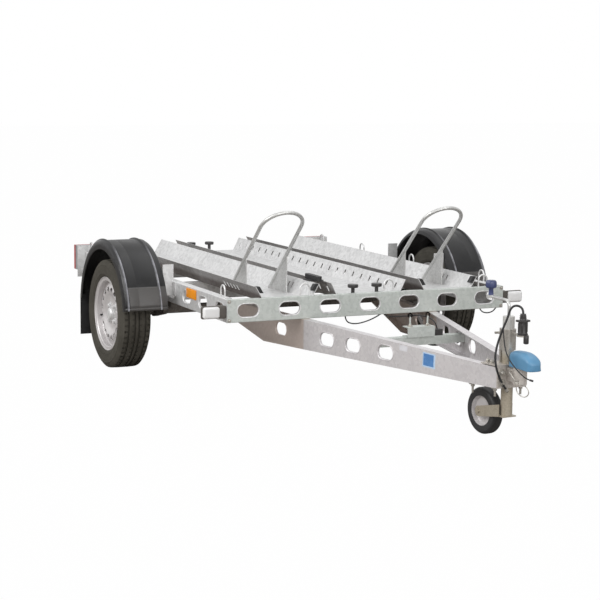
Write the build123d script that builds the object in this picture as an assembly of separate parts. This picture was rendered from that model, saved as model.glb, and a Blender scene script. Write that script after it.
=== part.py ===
from build123d import *
import os
from math import atan2, cos, degrees, hypot, radians, sin, tan

# A galvanised trailer for two motorcycles, standing level on its wheels and its jockey wheel.
# Millimetres. X runs forward from the axle line, Y to the left and Z up from the ground.
# At the end every piece moves back, so that the origin lies under the middle of the whole trailer.

# Frame
frame_width = 1442.0
frame_front = 943.0
frame_rear = 1120.0
frame_top = 448.0
frame_depth = 106.0
frame_flange = 42.0
front_flange = 24.0
frame_wall = 3.0
hole_pitch = 206.0
hole_width = 105.0
hole_height = 60.0
collar_height = 5.0
collar_wall = 4.0
bearer_depth = 85.0
bearer_flange = 40.0
bearer_front_x = 165.0
bearer_rear_x = -659.0

# Rails and ramp
rail_inset = 302.0
rail_middle = frame_width / 2 - rail_inset
rail_top_half = 160.0
rail_floor_half = 118.0
rail_wall = 3.0
rail_rise = 69.0
rail_front = 933.0
rail_rear = -1150.0
ramp_top_half = 196.0
ramp_floor_half = 160.0
ramp_front = 925.0
ramp_rear = -1100.0

# Wheels
wheel_stand = 188.0
track_half = frame_width / 2 + wheel_stand
tyre_radius = 268.0
tyre_width = 157.0
rim_radius = 182.5
spindle_radius = 17.5
running_fit = 0.05

# Drawbar and coupling
drawbar_rear_x = 175.0
drawbar_bend_x = 965.0
drawbar_nose_x = 2190.0
drawbar_front_half = 350.0
drawbar_nose_half = 68.0
drawbar_flange = 40.0
drawbar_wall = 4.0
ball_x = 2255.0
ball_z = 272.0
ball_radius = 25.0
coupling_front = 2372.0

# Jockey wheel
jockey_x = 2161.0
jockey_radius = 97.5
jockey_width = 50.0
jockey_trail = 141.0
jockey_turn = 6.0
leg_tube_radius = 24.0
leg_tube_bottom = 103.0
leg_tube_top = 508.0

# Cuts run past the faces that they open by this much, and pieces of two bodies keep this gap.
overrun = 20.0
seat_gap = 0.3
weld_sink = 1.0

os.makedirs("parts", exist_ok=True)

frame_half = frame_width / 2
frame_bottom = frame_top - frame_depth
bearer_top = frame_bottom + bearer_depth
rail_floor = bearer_top + rail_wall
rail_top = rail_floor + rail_rise
lamp_back = 60.0
rear_reach = frame_rear + frame_wall + lamp_back
origin_x = (coupling_front - rear_reach) / 2

nodes = {}


def keep(name, shape):
    nodes[name] = shape


def span(x0, x1, y0, y1, z0, z1):
    middle = Pos((x0 + x1) / 2, (y0 + y1) / 2, (z0 + z1) / 2)
    return middle * Box(abs(x1 - x0), abs(y1 - y0), abs(z1 - z0))


def mirrored(shape):
    return mirror(shape, about=Plane.XZ)


def channel(length, depth, flange, wall):
    # Web against y = 0, flanges towards +Y, run from x = 0 along +X.
    inner = wall
    outline = [
        (0, 0), (flange, 0), (flange, wall), (inner, wall),
        (inner, depth - wall), (flange, depth - wall), (flange, depth), (0, depth),
    ]
    section = Polygon(*outline, align=None)
    outer_corners = [v for v in section.vertices() if v.X < wall / 2]
    section = fillet(outer_corners, wall)
    return extrude(Plane.YZ * section, length)


def slot_plug(width, height, length):
    # A stadium hole's plug with its middle at the origin and its length along Y.
    return Rot(90, 0, 0) * extrude(SlotOverall(width, height), length / 2, both=True)


def pierce(beam, places, z, wall):
    # Stadium holes with a pressed rim, through a web that lies against y = 0.
    for x in places:
        rim = slot_plug(hole_width + 2 * collar_wall, hole_height + 2 * collar_wall, collar_height)
        beam += Pos(x, wall + collar_height / 2 - weld_sink, z) * rim
    for x in places:
        beam -= Pos(x, 0, z) * slot_plug(hole_width, hole_height, 2 * overrun)
    return beam


# Side members, webs outward
side_length = frame_rear + frame_front - 2 * frame_wall
side_start = -frame_rear + frame_wall
hole_z = frame_depth / 2
hole_from_front = 93.0
first_hole = frame_front - hole_from_front
side_hole_count = 10
axle_x_forward = 130.0
side_holes = [first_hole - hole_pitch * k for k in range(side_hole_count)]
side = channel(side_length, frame_depth, frame_flange, frame_wall)
side = pierce(side, [x - side_start for x in side_holes], hole_z, frame_wall)
flange_trim = frame_flange + seat_gap
for end in (0, side_length - flange_trim):
    side -= span(end - (overrun if end == 0 else 0), end + flange_trim + (0 if end == 0 else overrun),
                 frame_wall, frame_flange + overrun, -overrun, frame_depth + overrun)
side_right = Pos(side_start, -frame_half, frame_bottom) * side
keep("side_member_right", side_right)
keep("side_member_left", mirrored(side_right))

# Front crossmember, web forward, with ledges behind it that carry the rails and the ramp
across = frame_width - 2 * frame_wall
front_holes = [across / 2 + hole_pitch * k for k in (-3, -2, -1, 0, 1, 2, 3)]
front = pierce(channel(across, frame_depth, front_flange, frame_wall), front_holes, hole_z, frame_wall)
front += span(-frame_wall, 0, 0, frame_wall, 0, frame_depth)
front += span(across, across + frame_wall, 0, frame_wall, 0, frame_depth)
front = Pos(frame_front, -across / 2, frame_bottom) * (Rot(0, 0, 90) * front)
ledge_width = 46.0
ledge_reach = 80.0
ledge_wall = 6.0
ledge_places = [rail_middle - hole_pitch / 2, rail_middle + hole_pitch / 2, hole_pitch / 2]
for y in ledge_places:
    for hand in (-1, 1):
        middle = hand * y
        front += span(frame_front - ledge_reach, frame_front - frame_wall + weld_sink,
                      middle - ledge_width / 2, middle + ledge_width / 2,
                      bearer_top - ledge_wall, bearer_top)
# Notches let the rail and ramp walls through the top flange.
notch_half = 9.0
notch_reach = 8.0
level_share = (frame_top - bearer_top - frame_wall / 2) / rail_rise
rail_pass = rail_floor_half + (rail_top_half - rail_floor_half) * level_share
ramp_pass = ramp_floor_half + (ramp_top_half - ramp_floor_half) * level_share
for middle, reach in ((-rail_middle, rail_pass), (0, ramp_pass), (rail_middle, rail_pass)):
    for hand in (-1, 1):
        y = middle + hand * reach
        front -= span(frame_front - frame_flange - overrun, frame_front - notch_reach, y - notch_half, y + notch_half,
                      frame_top - frame_wall - weld_sink, frame_top + overrun)
keep("front_crossmember", front)

# Rear crossmember, web to the rear, lower so that the rails run out over it
rear = channel(across, bearer_depth, frame_flange, frame_wall)
rear = Pos(-frame_rear, across / 2, frame_bottom) * (Rot(0, 0, -90) * rear)
keep("rear_crossmember", rear)

# Bearers between the side members, standing on their lower flanges and carrying the rails
bearers = []
for x in (bearer_front_x, bearer_rear_x):
    bearer = channel(across, bearer_depth, bearer_flange, frame_wall)
    bearer = Pos(x, -across / 2, frame_bottom) * (Rot(0, 0, 90) * bearer)
    for hand in (-1, 1):
        bearer -= span(x - bearer_flange - overrun, x + overrun, hand * (frame_half - flange_trim),
                       hand * frame_half, frame_bottom - overrun, frame_bottom + frame_wall)
    bearers.append(bearer)
keep("bearers", Compound(children=bearers))


def trough(top_half, floor_half, wall, rise, length):
    # Open trough along +X from x = 0, with its floor's underside at z = 0.
    lean = (top_half - floor_half) / rise
    reach = hypot(lean, 1) * wall
    outline = [
        (-top_half, rise + wall), (-floor_half - lean * wall, wall), (-floor_half, 0),
        (floor_half, 0), (floor_half + lean * wall, wall), (top_half, rise + wall),
        (top_half - reach, rise + wall), (floor_half + lean * wall - reach, wall),
        (-floor_half - lean * wall + reach, wall), (-top_half + reach, rise + wall),
    ]
    return extrude(Plane.YZ * Polygon(*outline, align=None), length)


# Rails
grip_slot_width = 14.0
grip_slot_height = 26.0
grip_slot_pitch = 40.0
grip_slot_rows = 5
rail_length = rail_front - rail_rear
rail_slot_start = 520.0
wall_middle = (rail_top_half + rail_floor_half) / 2
slot_level = rail_wall + rail_rise / 2
wall_lean = degrees(atan2(rail_top_half - rail_floor_half, rail_rise))


def wall_slot(x, y, z, lean, hand):
    plug = Box(grip_slot_width, 2 * overrun, grip_slot_height)
    return Pos(x, hand * y, z) * (Rot(-hand * lean, 0, 0) * plug)


def rail_at(middle):
    rail = trough(rail_top_half, rail_floor_half, rail_wall, rail_rise, rail_length)
    for k in range(grip_slot_rows):
        for hand in (-1, 1):
            x = rail_slot_start - rail_rear + grip_slot_pitch * k
            rail -= wall_slot(x, wall_middle, slot_level, wall_lean, hand)
    return Pos(rail_rear, middle, bearer_top) * rail


keep("rail_right", rail_at(-rail_middle))
keep("rail_left", rail_at(rail_middle))

# Loading ramp, stored between the rails
ramp_length = ramp_front - ramp_rear
ramp_slot_pitch = 90.0
ramp_slot_count = 22
ramp_slot_start = (ramp_length - ramp_slot_pitch * (ramp_slot_count - 1)) / 2
ramp_lean = degrees(atan2(ramp_top_half - ramp_floor_half, rail_rise))
ramp_wall_middle = (ramp_top_half + ramp_floor_half) / 2
ramp = trough(ramp_top_half, ramp_floor_half, rail_wall, rail_rise, ramp_length)
for k in range(ramp_slot_count):
    for hand in (-1, 1):
        x = ramp_slot_start + ramp_slot_pitch * k
        ramp -= wall_slot(x, ramp_wall_middle, slot_level, ramp_lean, hand)
keep("loading_ramp", Pos(ramp_rear, 0, bearer_top) * ramp)

# Hand knobs that hold the ramp down
knob_places = [(910.0, -75.0), (910.0, 49.0), (-1050.0, -120.0), (-1050.0, -10.0)]
knob_radius = 25.0
knob_height = 16.0
stem_radius = 8.5
stem_height = 42.0
knobs = []
for x, y in knob_places:
    stem = Pos(x, y, rail_floor + stem_height / 2) * Cylinder(stem_radius, stem_height)
    head = Cylinder(knob_radius, knob_height)
    head = fillet(head.edges().filter_by(GeomType.CIRCLE), knob_height / 4)
    knobs.append(stem + Pos(x, y, rail_floor + stem_height + knob_height / 2 - weld_sink) * head)
keep("ramp_knobs", Compound(children=knobs))

# Latch across the gap between the ramp and the right rail: a plate with a folded rubber strap on it
latch_x = 800.0
latch_plate_length = 70.0
latch_plate_wall = 4.0
latch_overlap = 5.0
latch_length = 150.0
latch_width = 26.0
latch_height = 22.0
latch_outer = rail_middle - rail_top_half + latch_overlap
latch_inner = ramp_top_half - latch_overlap
latch = span(latch_x - latch_plate_length / 2, latch_x + latch_plate_length / 2, -latch_outer, -latch_inner,
             rail_top, rail_top + latch_plate_wall)
strap = SlotOverall(latch_length, latch_width)
strap_middle = (latch_outer + latch_inner) / 2
latch += Pos(latch_x, -strap_middle, rail_top + latch_plate_wall - weld_sink) * extrude(strap, latch_height)
keep("ramp_latch", latch)

# Wheel hoops, leaning forward, each with a triangular foot under both legs
hoop_tube_radius = 11.0
hoop_half = 103.0
hoop_lean = 43.0
hoop_top = 842.0
hoop_gusset_rise = 185.0
hoop_gusset_wall = 5.0


def hoop_at(middle, foot_x):
    lean_cos = cos(radians(hoop_lean))
    lean_sin = sin(radians(hoop_lean))
    slope_length = (hoop_top - hoop_tube_radius - rail_floor) / lean_sin
    leg = slope_length - hoop_half
    plane = Plane(origin=(foot_x, middle, rail_floor), x_dir=(0, 1, 0), z_dir=(lean_sin, 0, -lean_cos))
    start = -2 * hoop_tube_radius
    path = Line((-hoop_half, start), (-hoop_half, leg))
    path += ThreePointArc((-hoop_half, leg), (0, leg + hoop_half), (hoop_half, leg))
    path += Line((hoop_half, leg), (hoop_half, start))
    ring = Plane(origin=(-hoop_half, start, 0), z_dir=(0, 1, 0)) * Circle(hoop_tube_radius)
    hoop = plane * sweep(ring, path=path)
    gusset_run = hoop_gusset_rise / tan(radians(hoop_lean))
    outline = [(0, 0), (gusset_run, 0), (gusset_run, hoop_gusset_rise)]
    gusset = extrude(Plane.XZ * Polygon(*outline, align=None), hoop_gusset_wall / 2, both=True)
    for hand in (-1, 1):
        hoop += Pos(foot_x, middle + hand * hoop_half, rail_floor) * gusset
    below = 4 * hoop_tube_radius
    hoop -= span(foot_x - below, foot_x + below, middle - hoop_half - below, middle + hoop_half + below,
                 rail_floor - below, rail_floor)
    return hoop


hoop_foot_x = 495.0
keep("wheel_hoop_right", hoop_at(-rail_middle, hoop_foot_x))
keep("wheel_hoop_left", hoop_at(rail_middle, hoop_foot_x))

# Rubber end blocks against the inner sides of the rail walls, at the front
block_length = 26.0
block_width = 18.0
block_height = 30.0
block_slope = (rail_top_half - rail_floor_half) / rail_rise
block_outer = rail_top_half - hypot(block_slope, 1) * rail_wall - seat_gap
block_section = Polygon(
    (block_outer, rail_top), (block_outer - block_width, rail_top),
    (block_outer - block_width - block_slope * block_height, rail_top - block_height),
    (block_outer - block_slope * block_height, rail_top - block_height), align=None)
block = Pos(rail_front - block_length, 0, 0) * extrude(Plane.YZ * block_section, block_length)
blocks = [Pos(0, middle, 0) * piece for middle in (-rail_middle, rail_middle) for piece in (block, mirrored(block))]
keep("rail_end_blocks", Compound(children=blocks))

# Lashing loops on the frame: place along X, place along Y, and whether the loop stands along X
loop_radius = 4.0
loop_half = 24.0
loop_rise = 56.0
loop_inset = 14.0
loop_inward = 88.0
loop_outward = 195.0
loop_places = [
    (857.0, -frame_half + loop_inset, True), (155.0, -frame_half + loop_inset, True),
    (-540.0, -frame_half + loop_inset, True), (-1060.0, -frame_half + loop_inset, True),
    (760.0, frame_half - loop_inset, True), (40.0, frame_half - loop_inset, True),
    (-540.0, frame_half - loop_inset, True), (-1060.0, frame_half - loop_inset, True),
    (frame_front - loop_inset, loop_inward - rail_middle, False), (frame_front - loop_inset, hole_pitch / 2, False),
    (frame_front - loop_inset, rail_middle + loop_outward, False),
]


def lashing_loop(x, y, along_x):
    leg = loop_rise - loop_half
    path = Line((-loop_half, 0), (-loop_half, leg))
    path += ThreePointArc((-loop_half, leg), (0, leg + loop_half), (loop_half, leg))
    path += Line((loop_half, leg), (loop_half, 0))
    ring = Plane(origin=(-loop_half, 0, 0), z_dir=(0, 1, 0)) * Circle(loop_radius)
    loop = Rot(90, 0, 0) * sweep(ring, path=path)
    if not along_x:
        loop = Rot(0, 0, 90) * loop
    return Pos(x, y, frame_top) * loop


keep("lashing_loops", Compound(children=[lashing_loop(*place) for place in loop_places]))


# Drawbar beams: open channels with a slight bend in plan under the front of the frame,
# deepest at a heel under the frame and tapering from there to the nose and to the rear.
drawbar_slope = (drawbar_front_half - drawbar_nose_half) / (drawbar_nose_x - drawbar_bend_x)
drawbar_rear_slope = 0.114
along = hypot(drawbar_slope, 1)
drawbar_nose_top = 307.0
drawbar_nose_bottom = 222.0
drawbar_bend_bottom = 204.0
drawbar_heel_x = 600.0
drawbar_heel_bottom = 190.0
drawbar_rear_bottom = 285.0
drawbar_hole_length = 100.0
drawbar_hole_height = 62.0
drawbar_hole_z = 271.0
front_stations = [
    (drawbar_bend_x - overrun, frame_bottom, drawbar_bend_bottom), (drawbar_bend_x, frame_bottom, drawbar_bend_bottom),
    (drawbar_nose_x, drawbar_nose_top, drawbar_nose_bottom),
    (drawbar_nose_x + overrun, drawbar_nose_top, drawbar_nose_bottom),
]
rear_stations = [
    (drawbar_rear_x - overrun, frame_bottom, drawbar_rear_bottom), (drawbar_rear_x, frame_bottom, drawbar_rear_bottom),
    (drawbar_heel_x, frame_bottom, drawbar_heel_bottom), (drawbar_bend_x, frame_bottom, drawbar_bend_bottom),
    (drawbar_bend_x + overrun, frame_bottom, drawbar_bend_bottom),
]
front_hole_places = [1127.0, 1306.0, 1522.0]
rear_hole_places = [760.0]
inward = (0, 1, 0)


def beam_leg(stations, slope, holes, from_x, to_x):
    # One straight length of channel. Stations give x along the trailer, top and bottom.
    stretch = hypot(slope, 1)
    tops = [((x - drawbar_bend_x) * stretch, top) for x, top, bottom in stations]
    bottoms = [((x - drawbar_bend_x) * stretch, bottom) for x, top, bottom in stations]
    outer = Polygon(*tops, *reversed(bottoms), align=None)
    inner_tops = [(x, z - drawbar_wall) for x, z in tops]
    inner_bottoms = [(x, z + drawbar_wall) for x, z in bottoms]
    inner = Polygon(*inner_tops, *reversed(inner_bottoms), align=None)
    leg = extrude(Plane.XZ * outer, drawbar_flange, dir=inward)
    leg -= Pos(0, drawbar_wall, 0) * extrude(Plane.XZ * inner, drawbar_flange, dir=inward)
    for x in holes:
        rim = slot_plug(drawbar_hole_length + 2 * collar_wall, drawbar_hole_height + 2 * collar_wall, collar_height)
        place = (x - drawbar_bend_x) * stretch
        leg += Pos(place, drawbar_wall + collar_height / 2 - weld_sink, drawbar_hole_z) * rim
        leg -= Pos(place, 0, drawbar_hole_z) * slot_plug(drawbar_hole_length, drawbar_hole_height, 2 * overrun)
    leg = Rot(0, 0, degrees(atan2(slope, 1))) * leg
    leg = Pos(drawbar_bend_x, -drawbar_front_half, 0) * leg
    return leg & span(from_x, to_x, -frame_half, 0, 0, frame_top)


beam = beam_leg(front_stations, drawbar_slope, front_hole_places, drawbar_bend_x, drawbar_nose_x)
beam += beam_leg(rear_stations, drawbar_rear_slope, rear_hole_places, drawbar_rear_x, drawbar_bend_x)
# The flanges are trimmed round the jockey tube.
trim_gap = 10.0
beam -= Pos(jockey_x, 0, frame_bottom) * Cylinder(leg_tube_radius + trim_gap, 2 * frame_depth + 2 * overrun)
keep("drawbar_beam_right", beam)
keep("drawbar_beam_left", mirrored(beam))


def beam_inner(x):
    return drawbar_front_half - drawbar_slope * (x - drawbar_bend_x) - drawbar_wall * along


# Tie across the drawbar, with a small bracket and two eye bolts
tie_x = 1362.0
tie_depth = 38.0
tie_width = 40.0
tie_wall = 4.0
tie_z = 290.0
tie_half = beam_inner(tie_x)
tie_end_half = beam_inner(tie_x + tie_width)
tie_plan = Polygon((tie_x, -tie_half), (tie_x + tie_width, -tie_end_half), (tie_x + tie_width, tie_end_half),
                   (tie_x, tie_half), align=None)
tie = Pos(0, 0, tie_z) * extrude(tie_plan, tie_depth / 2, both=True)
tie -= span(tie_x + tie_wall, tie_x + tie_width - tie_wall, -tie_half - overrun, tie_half + overrun,
            tie_z - tie_depth / 2 + tie_wall, tie_z + tie_depth / 2 - tie_wall)
keep("drawbar_tie", tie)
plate_y = 15.0
plate_half = 68.0
plate_height = 46.0
plate_reach = 52.0
eye_radius = 4.0
tie_top = tie_z + tie_depth / 2
bracket = span(tie_x, tie_x + plate_reach, plate_y - plate_half, plate_y + plate_half, tie_top, tie_top + plate_height)
bracket -= span(tie_x - overrun, tie_x + plate_reach - tie_wall, plate_y - plate_half - overrun,
                plate_y + plate_half + overrun, tie_top + tie_wall, tie_top + plate_height - tie_wall)
eye_rise = 44.0
eye_apart = 44.0
for hand in (-1, 1):
    y = plate_y + hand * eye_apart
    stem = Cylinder(eye_radius, eye_rise)
    bracket += Pos(tie_x + plate_reach / 2, y, tie_top + plate_height + eye_rise / 2 - weld_sink) * stem
keep("tie_bracket", bracket)

# Nose: front plate between the beam ends, with shelves above and below the jockey tube
nose_plate_wall = 8.0
nose_shelf_wall = 5.0
nose_shelf_reach = 90.0
nose_half = drawbar_nose_half
shelf_lift = 5.0
shelf_bottom = drawbar_nose_top + shelf_lift
shelf_top = shelf_bottom + nose_shelf_wall
nose = span(drawbar_nose_x, drawbar_nose_x + nose_plate_wall, -nose_half, nose_half,
            drawbar_nose_bottom, shelf_top)
shelf_back = drawbar_nose_x - nose_shelf_reach
shelf = Polygon((drawbar_nose_x, -nose_half), (drawbar_nose_x, nose_half),
                (shelf_back, nose_half + drawbar_slope * nose_shelf_reach),
                (shelf_back, -nose_half - drawbar_slope * nose_shelf_reach), align=None)
nose += Pos(0, 0, shelf_bottom) * extrude(shelf, nose_shelf_wall)
nose -= Pos(jockey_x, 0, drawbar_nose_top) * Cylinder(leg_tube_radius + seat_gap, 4 * overrun)
keep("drawbar_nose", nose)

# Coupling: shank on the nose, round cup over the towing ball
shank_half = 27.0
shank_rise = 32.0
shank_bottom = drawbar_nose_bottom + shank_rise
shank_top = drawbar_nose_top
cup_wall = 4.0
cup_radius = ball_radius + cup_wall
shank_back = drawbar_nose_x + nose_plate_wall
coupling = span(shank_back, ball_x, -shank_half, shank_half, shank_bottom, shank_top)
cup_bottom = ball_z - ball_radius
coupling += Pos(ball_x, 0, (cup_bottom + shank_top) / 2) * Cylinder(cup_radius, shank_top - cup_bottom)
coupling += Pos(ball_x, 0, shank_top) * Sphere(cup_radius) - span(
    ball_x - 2 * cup_radius, ball_x + 2 * cup_radius, -2 * cup_radius, 2 * cup_radius,
    shank_top - 3 * cup_radius, shank_top - weld_sink)
coupling -= Pos(ball_x, 0, ball_z) * Sphere(ball_radius)
coupling -= Pos(ball_x, 0, ball_z - ball_radius) * Cylinder(ball_radius, 2 * ball_radius)
keep("coupling_head", coupling)

# Handle cover over the coupling, a rounded hollow cap
cap_back = 2210.0
cap_half = 31.0
cap_lift = 7.0
cap_bottom = shank_top + cap_lift
cap_height = 68.0
cap_round = 18.0
cap = span(cap_back, coupling_front, -cap_half, cap_half, cap_bottom, cap_bottom + cap_height)
cap = fillet(cap.edges().filter_by(Axis.Z), cap_round)
cap = fillet(cap.faces().sort_by(Axis.Z)[-1].edges(), cap_round)
cap -= Pos(ball_x, 0, shank_top) * Sphere(cup_radius + seat_gap)
keep("coupling_handle", cap)

# Torsion axle: square tube with end arms that trail back to the hubs
axle_side = 40.0
axle_plate = 26.0
axle_tube_z = frame_bottom - axle_side / 2 - axle_plate
axle_inset = 10.0
axle_foot = 60.0
axle_half = frame_half - axle_inset
axle = span(axle_x_forward - axle_side / 2, axle_x_forward + axle_side / 2, -axle_half, axle_half,
            axle_tube_z - axle_side / 2, axle_tube_z + axle_side / 2)
axle = fillet(axle.edges().filter_by(Axis.Y), axle_side / 8)
for hand in (-1, 1):
    axle += span(axle_x_forward - axle_foot, axle_x_forward + axle_foot,
                 hand * (frame_half - frame_flange), hand * (axle_half - frame_wall),
                 axle_tube_z + axle_side / 2 - weld_sink, frame_bottom)
keep("axle_tube", axle)
arm_wall = 22.0
arm_half = 25.0
arm_inner = axle_half
arm_outer = arm_inner + arm_wall
hub_stand = 34.0
hub_inner = arm_outer + hub_stand
disc_inset = 24.0
disc_face = track_half - disc_inset
hub_radius = 52.0
arms = []
for hand in (-1, 1):
    run = hypot(axle_x_forward, axle_tube_z - tyre_radius)
    tilt = degrees(atan2(axle_tube_z - tyre_radius, axle_x_forward))
    arm = extrude(SlotCenterToCenter(run, 2 * arm_half), arm_wall / 2, both=True)
    arm = Rot(0, -tilt, 0) * (Rot(90, 0, 0) * arm)
    arm = Pos(axle_x_forward / 2, 0, (axle_tube_z + tyre_radius) / 2) * arm
    arm = Pos(0, hand * (arm_inner + arm_outer) / 2, 0) * arm
    spindle_end = disc_face - arm_wall
    spindle = Rot(90, 0, 0) * Cylinder(spindle_radius, spindle_end - arm_outer + weld_sink)
    arm += Pos(0, hand * (spindle_end + arm_outer - weld_sink) / 2, tyre_radius) * spindle
    arms.append(arm)
keep("swing_arms", Compound(children=arms))


# Road wheels, built round Z with the outer side up, then turned outward
def turned(points):
    return revolve(Plane.XZ * Polygon(*points, align=None), Axis.Z)


rim_half = 68.0
rim_lip = 6.0
rim_wall = 4.0
seat_radius = 166.0
well_radius = 150.0
well_half = 34.0
well_inner_half = 24.0
dish_z = -track_half + disc_face
dish_rise = 34.0
centre_radius = 74.0
dish_outer_radius = 132.0
vent_count = 14
vent_radius = 8.5
vent_circle = 112.0


def rim_solid():
    barrel = [
        (rim_radius, -rim_half), (rim_radius, -rim_half + rim_lip), (seat_radius, -rim_half + 2 * rim_lip),
        (seat_radius, -well_half), (well_radius, -well_inner_half), (well_radius, well_inner_half),
        (seat_radius, well_half), (seat_radius, rim_half - 2 * rim_lip), (rim_radius, rim_half - rim_lip),
        (rim_radius, rim_half), (rim_radius - rim_wall, rim_half), (seat_radius - rim_wall, rim_half - 2 * rim_lip),
        (seat_radius - rim_wall, well_half + rim_wall / 2), (well_radius - rim_wall, well_inner_half + rim_wall / 2),
        (well_radius - rim_wall, -well_inner_half - rim_wall / 2),
        (seat_radius - rim_wall, -well_half - rim_wall / 2), (seat_radius - rim_wall, -rim_half + 2 * rim_lip),
        (rim_radius - rim_wall, -rim_half),
    ]
    rim = turned(barrel)
    shoulder = dish_z + dish_rise
    disc = [
        (spindle_radius, dish_z), (centre_radius, dish_z), (centre_radius + rim_wall, dish_z + rim_wall),
        (vent_circle - 2 * vent_radius, shoulder - rim_wall), (dish_outer_radius, shoulder - rim_wall),
        (well_radius - rim_wall + weld_sink, dish_z + rim_wall),
        (well_radius - rim_wall + weld_sink, dish_z + 3 * rim_wall),
        (dish_outer_radius + rim_wall, shoulder + rim_wall),
        (vent_circle - 2 * vent_radius, shoulder + rim_wall), (centre_radius - rim_wall, dish_z + 2 * rim_wall),
        (spindle_radius, dish_z + 2 * rim_wall),
    ]
    rim += turned(disc)
    for k in range(vent_count):
        vent = Pos(vent_circle, 0, shoulder) * Cylinder(vent_radius, 2 * overrun)
        rim -= Rot(0, 0, 360 / vent_count * k) * vent
    return rim


tread_drop = 8.0
tread_share = 0.4


def tyre_solid():
    half = tyre_width / 2
    shoulder_r = tyre_radius - tread_drop
    tread_half = tread_share * tyre_width
    bead_r = seat_radius + seat_gap
    points = [
        (bead_r, -rim_half + 2 * rim_lip + seat_gap), (rim_radius + seat_gap, -rim_half + rim_lip + seat_gap),
        (rim_radius + 2 * rim_lip, -half), (tyre_radius - 3 * rim_lip, -half),
        (shoulder_r, -tread_half - rim_lip), (tyre_radius, -tread_half),
        (tyre_radius, tread_half), (shoulder_r, tread_half + rim_lip), (tyre_radius - 3 * rim_lip, half),
        (rim_radius + 2 * rim_lip, half), (rim_radius + seat_gap, rim_half - rim_lip - seat_gap),
        (bead_r, rim_half - 2 * rim_lip - seat_gap),
    ]
    return turned(points)


def hub_solid():
    # Hub barrel between the arm and the wheel disc, with a cap through the disc.
    barrel = Pos(0, 0, dish_z - (disc_face - hub_inner) / 2) * Cylinder(hub_radius, disc_face - hub_inner)
    barrel -= Pos(0, 0, dish_z - (disc_face - hub_inner)) * Cylinder(spindle_radius + running_fit,
                                                                   2 * (disc_face - hub_inner - arm_wall + seat_gap))
    return barrel


def place_wheel(shape, hand):
    outward = Rot(90, 0, 0) if hand < 0 else Rot(-90, 0, 0)
    return Pos(0, hand * track_half, tyre_radius) * (outward * shape)


for hand, side_name in ((-1, "right"), (1, "left")):
    keep("wheel_rim_" + side_name, place_wheel(rim_solid(), hand))
    keep("tyre_" + side_name, place_wheel(tyre_solid(), hand))
    keep("wheel_hub_" + side_name, place_wheel(hub_solid(), hand))

# Mudguards: a rounded shell round each wheel, with a flap behind it
guard_radius = 371.0
guard_width = 224.0
guard_reach = 91.0
guard_outer = track_half + guard_reach
guard_inner = guard_outer - guard_width
guard_wall = 4.0
guard_round = 34.0
guard_lip = 52.0
guard_inner_lip = 30.0
guard_front_angle = 9.6
guard_rear_angle = 170.0


def guard_solid():
    outer = [
        (guard_radius - guard_lip, guard_outer), (guard_radius, guard_outer), (guard_radius, guard_inner),
        (guard_radius - guard_inner_lip, guard_inner), (guard_radius - guard_inner_lip, guard_inner + guard_wall),
        (guard_radius - guard_wall, guard_inner + guard_wall), (guard_radius - guard_wall, guard_outer - guard_wall),
        (guard_radius - guard_lip, guard_outer - guard_wall),
    ]
    section = Polygon(*outer, align=None)
    corners = [v for v in section.vertices() if v.X > guard_radius - guard_wall / 2]
    section = fillet(corners, guard_inner_lip - guard_wall)
    inner_corners = [v for v in section.vertices()
                     if abs(v.X - guard_radius + guard_wall) < guard_wall / 2
                     and (abs(v.Y - guard_inner - guard_wall) < guard_wall / 2
                          or abs(v.Y - guard_outer + guard_wall) < guard_wall / 2)]
    section = fillet(inner_corners, guard_inner_lip - 2 * guard_wall)
    span_angle = guard_rear_angle - guard_front_angle
    shell = revolve(Plane.XY * section, Axis.Y, revolution_arc=-span_angle)
    return Pos(0, 0, tyre_radius) * (Rot(0, -guard_front_angle, 0) * shell)


guard = guard_solid()
keep("mudguard_left", guard)
keep("mudguard_right", mirrored(guard))

flap_wall = 4.0
flap_bottom = 115.0
flap_shoulder = 321.0
flap_inset = 19.0
flap_front = flap_inset - guard_radius
flap_back = flap_front - flap_wall
flap_reach = guard_radius - guard_wall - seat_gap
flap_top = tyre_radius + (flap_reach ** 2 - flap_back ** 2) ** 0.5
flap_tongue_inset = 28.0
flaps = []
for hand in (-1, 1):
    near = guard_inner + guard_wall + seat_gap
    far = guard_outer - guard_wall - seat_gap
    flap = span(flap_back, flap_front, hand * near, hand * far, flap_bottom, flap_shoulder)
    flap += span(flap_back, flap_front, hand * (near + flap_tongue_inset),
                 hand * (far - flap_tongue_inset), flap_shoulder - weld_sink, flap_top)
    flaps.append(flap)
keep("mud_flaps", Compound(children=flaps))

# Upright flat bars with a foot that carry the mudguards from the side members
stay_wall = 5.0
stay_x = 255.0
stay_foot = 40.0
stay_bottom = frame_bottom + stay_foot
stay_top = tyre_radius + (guard_radius ** 2 - stay_x ** 2) ** 0.5 - stay_wall
stays = []
for hand in (-1, 1):
    for x in (-stay_x, stay_x):
        stay = span(x, x + stay_wall, hand * frame_half, hand * guard_inner, stay_bottom, stay_top)
        stay += span(x, x + stay_foot, hand * frame_half, hand * (frame_half + stay_wall), stay_bottom, frame_top)
        stays.append(stay)
keep("mudguard_stays", Compound(children=stays))

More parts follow.
